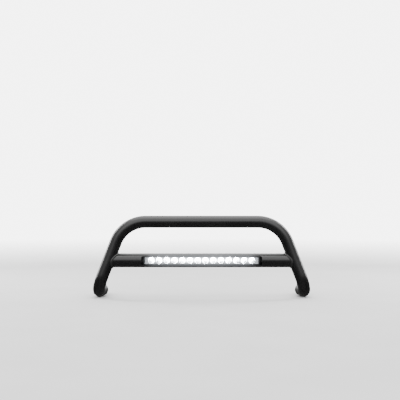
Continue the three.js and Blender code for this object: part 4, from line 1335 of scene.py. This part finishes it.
def build_grommet():
    """A lip inside the tube's wall, a neck through it and a rounded lip outside."""
    bore, neck, lip = CABLE_R + 0.2, GROMMET_HOLE_R - 0.2, 10.5
    low, inside_face, outside = 29.8, 31.6, CROSS_R + 0.1
    rings = [(bore, low), (lip - 0.7, low), (lip, low + 0.6), (lip, inside_face - 0.2), (neck, inside_face),
             (neck, outside), (lip - 0.3, outside), (lip, outside + 0.5), (lip - 0.5, outside + 1.6),
             (lip - 1.8, outside + 2.3), (bore + 0.6, outside + 2.4), (bore, outside + 2.0)]
    return facing_back("grommet", CABLE_X, rings, 48)


CABLE_SEAT = CROSS_R + 5
CABLE_TAIL = 118


def cable_run():
    """From inside the light, out through gland and grommet, over towards the right and down the tube."""
    slope = radians(25)
    run = Run((CABLE_X, CROSS_Y + 4, CROSS_Z), (0, 1, 0)).straight(38, 1.5)
    run.bend((-cos(slope), -sin(slope), 0), 10, radians(6))
    settle = 30
    drop = run.places[-1][1] - CROSS_Y - CABLE_SEAT - settle * (1 - cos(slope))
    run.straight(drop / sin(slope), 4)
    run.bend((-1, 0, 0), settle, radians(4))
    return run.straight(CABLE_TAIL, 6)


CABLE = cable_run()
CABLE_END = CABLE.places[-1]


def build_cable():
    sides = 24
    ring_at = CABLE.ring_maker(vec(0, 0, 1), sides)
    rings = [ring_at(i, CABLE_R) for i in range(len(CABLE.places))]
    return mesh_object("cable", np.vstack(rings), rings_to_faces(len(rings), sides, capped=True))


def rounded_box(name, origin, low, high, radius):
    """A box with rounded edges between two corners, which are given from an origin."""
    shape = bmesh.new()
    bmesh.ops.create_cube(shape, size=1)
    low, high = vec(*low) + origin, vec(*high) + origin
    for v in shape.verts:
        v.co = Vector((low + high) / 2) + Vector(vec(*v.co) * (high - low))
    bmesh.ops.bevel(shape, geom=list(shape.edges), offset=radius, segments=3, profile=0.5, affect="EDGES")
    points = [tuple(v.co) for v in shape.verts]
    faces = [[v.index for v in f.verts] for f in shape.faces]
    shape.free()
    return mesh_object(name, points, faces)


def rod(name, start, radius, length, sides=24):
    """A plain round cutter or pin along +X from a point."""
    return turned(name, [(radius, 0), (radius, length)], move(*start) @ Z_TO_X, sides)


def build_saddle():
    """A moulded clip: an arch over the cable on a foot stuck to the tube."""
    middle = CABLE_END + vec(CABLE_TAIL * 0.45, 0, 0)
    base = CROSS_R + 0.2 - CABLE_SEAT
    foot = rounded_box("saddle_clip", middle, (-7, base, -8), (7, base + 3, 8), 0.7)
    saddle = combine(foot, [rod("arch", middle - vec(5, 0, 0), CABLE_R + 2.2, 10, 32)], "UNION")
    return combine(saddle, [rod("bore", middle - vec(20, 0, 0), CABLE_R + 0.15, 40)], "DIFFERENCE")


def build_plug():
    """A sealed two-way plug: ribbed shell, collar, latch tongue, boot and an open mouth with two pins."""
    def block(name, low, high, radius):
        return rounded_box(name, CABLE_END, low, high, radius)

    shell = block("plug", (-34, -4.6, -8), (-6, 8, 8), 1.4)
    parts = [block("collar", (-30, -4.6, -9.2), (-24, 9, 9.2), 0.8),
             block("latch", (-25, 6.5, -2.5), (-9, 10, 2.5), 0.7),
             turned("boot", [(4.6, 0), (4.6, 9), (4.2, 10), (4.2, 11), (4.6, 12), (4.4, 13.5), (3.8, 16)],
                    move(*CABLE_END - vec(12, 0, 0)) @ Z_TO_X, 32)]
    parts += [block("rib", (x, -4.4, -8.5), (x + 1.4, 7, 8.5), 0.4) for x in (-20, -17, -14, -11)]
    body = combine(shell, parts, "UNION")
    mouth = block("mouth", (-40, -3, -6.2), (-24, 6.4, 6.2), 0.6)
    entry = rod("entry", CABLE_END - vec(4, 0, 0), CABLE_R + 0.1, 14)
    body = combine(body, [mouth, entry], "DIFFERENCE")
    return combine(body, [rod("pin", CABLE_END + vec(-31, 1.7, z), 1, 8, 16) for z in (-3, 3)], "UNION")


finish_piece(build_gland(), "light", PLASTIC, "cable_gland")
finish_piece(build_vent(), "light", PLASTIC, "breather_vent")
finish_piece(build_grommet(), "guard", RUBBER, "cable_grommet")
finish_piece(build_saddle(), "guard", PLASTIC, "cable_saddle")
finish_piece(build_plug(), "guard", PLASTIC, "connector_plug")

cable = build_cable()
cable.data.materials.append(RUBBER[1])
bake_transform(cable)
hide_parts("light_cable", "supply_cable")


# ---- stage, lights and camera (metres)

FLOOR_HALF = 12
FLOOR_TONE = 0.72
FLOOR_FADE = (2.5, 7.0)                  # distances from the object between which the floor fades out
BACKDROP = 6.0
FLAG_START, FLAG_FULL, FLAG_SHARE = 0.45, 0.75, 0.4      # dark flags left and right of the object
SKY_PEAK = 4.5
SKY = ((-90, 0.10), (-10, 0.10), (0, 0.30), (10, 1.2), (22, 2.4), (55, 2.6), (90, SKY_PEAK))
BLOOM_FROM = 8.0                         # brighter than the backdrop, so only the chips glow
BLOOM_STRENGTH = 0.6
BLOOM_SIZE = 0.02
STRIP_PLACE = (2.3, 1.0, 1.4)
STRIP_TARGET = (0, 0, 0.3)
STRIP_SIZE = (0.45, 2.2)
STRIP_POWER = 45
CAMERA_PLACE = (-0.0083, -4.700, 0.512)
CAMERA_LENS = 79.4                       # mm, on a 36 mm sensor


def build_stage():
    """A pale floor that fades into the white behind the object."""
    mesh = bpy.data.meshes.new("floor")
    corners = [(x * FLOOR_HALF, y * FLOOR_HALF, 0) for x, y in ((-1, -1), (1, -1), (1, 1), (-1, 1))]
    mesh.from_pydata(corners, [], [(0, 1, 2, 3)])
    floor = add_object("floor", mesh)
    m = Surface("pale_floor")
    tone = m.ramp(m.noise(3, 2), (FLOOR_TONE,) * 3, (FLOOR_TONE * 1.05,) * 3)
    m.fill(m.shader, {"Base Color": tone, "Roughness": 0.75, "Specular IOR Level": 0.2})
    distance = m.make("ShaderNodeVectorMath", "Value", {0: m.coords}, operation="LENGTH")
    clear = m.make("ShaderNodeBsdfTransparent", "BSDF")
    m.show("Material Output", m.spread(distance, 0.0, 1.0, *FLOOR_FADE), m.shader.outputs["BSDF"], clear)
    mesh.materials.append(m.material)
    floor.visible_glossy = False         # the black tubes' undersides stay dark


def strip_light(name, side):
    """A tall soft light beside the object, a little behind it, for the tubes' rims."""
    data = bpy.data.lights.new(name, "AREA")
    data.shape = "RECTANGLE"
    data.size, data.size_y = STRIP_SIZE
    data.energy = STRIP_POWER
    lamp = add_object(name, data)
    lamp.location = Vector(STRIP_PLACE) * Vector((side, 1, 1))
    lamp.rotation_euler = (Vector(STRIP_TARGET) - lamp.location).to_track_quat("-Z", "Y").to_euler()
    lamp.visible_camera = False


def build_world():
    """White to the camera; to everything else a soft sky, dark below the horizon, brightest overhead."""
    world = bpy.data.worlds.new("studio")
    bpy.context.scene.world = world
    m = Nodes(world)
    way = m.make("ShaderNodeTexCoord", "Generated")
    side, height = (m.make("ShaderNodeSeparateXYZ", axis, {"Vector": way}) for axis in "XZ")
    stops = [(0.5 + 0.5 * sin(radians(elevation)), (radiance / SKY_PEAK,) * 3) for elevation, radiance in SKY]
    aside = m.make("ShaderNodeMath", "Value", {0: side}, operation="ABSOLUTE")
    sky = m.make("ShaderNodeBackground", "Background", {
        "Color": m.stops(m.add(0.5, height, 0.5), stops),
        "Strength": m.spread(aside, SKY_PEAK, SKY_PEAK * FLAG_SHARE, FLAG_START, FLAG_FULL)})
    backdrop = m.make("ShaderNodeBackground", "Background", {"Color": (1, 1, 1, 1), "Strength": BACKDROP})
    m.show("World Output", m.make("ShaderNodeLightPath", "Is Camera Ray"), sky, backdrop)


def build_camera():
    data = bpy.data.cameras.new("camera")
    data.sensor_width = 36
    data.lens = CAMERA_LENS
    camera = add_object("camera", data)
    camera.location = CAMERA_PLACE
    camera.rotation_euler = (pi / 2, 0, 0)
    bpy.context.scene.camera = camera


def add_bloom():
    """The camera's own glow around the lit chips."""
    m = Nodes(bpy.context.scene)
    m.tree.nodes.clear()
    bloom = m.make("CompositorNodeGlare", "Image", {
        "Image": m.make("CompositorNodeRLayers", "Image"), "Threshold": BLOOM_FROM,
        "Strength": BLOOM_STRENGTH, "Size": BLOOM_SIZE}, glare_type="BLOOM")
    m.fill(m.tree.nodes.new("CompositorNodeComposite"), {"Image": bloom})


build_stage()
build_world()
for word, side in SIDES:
    strip_light(f"{word}_strip", side)
build_camera()
add_bloom()
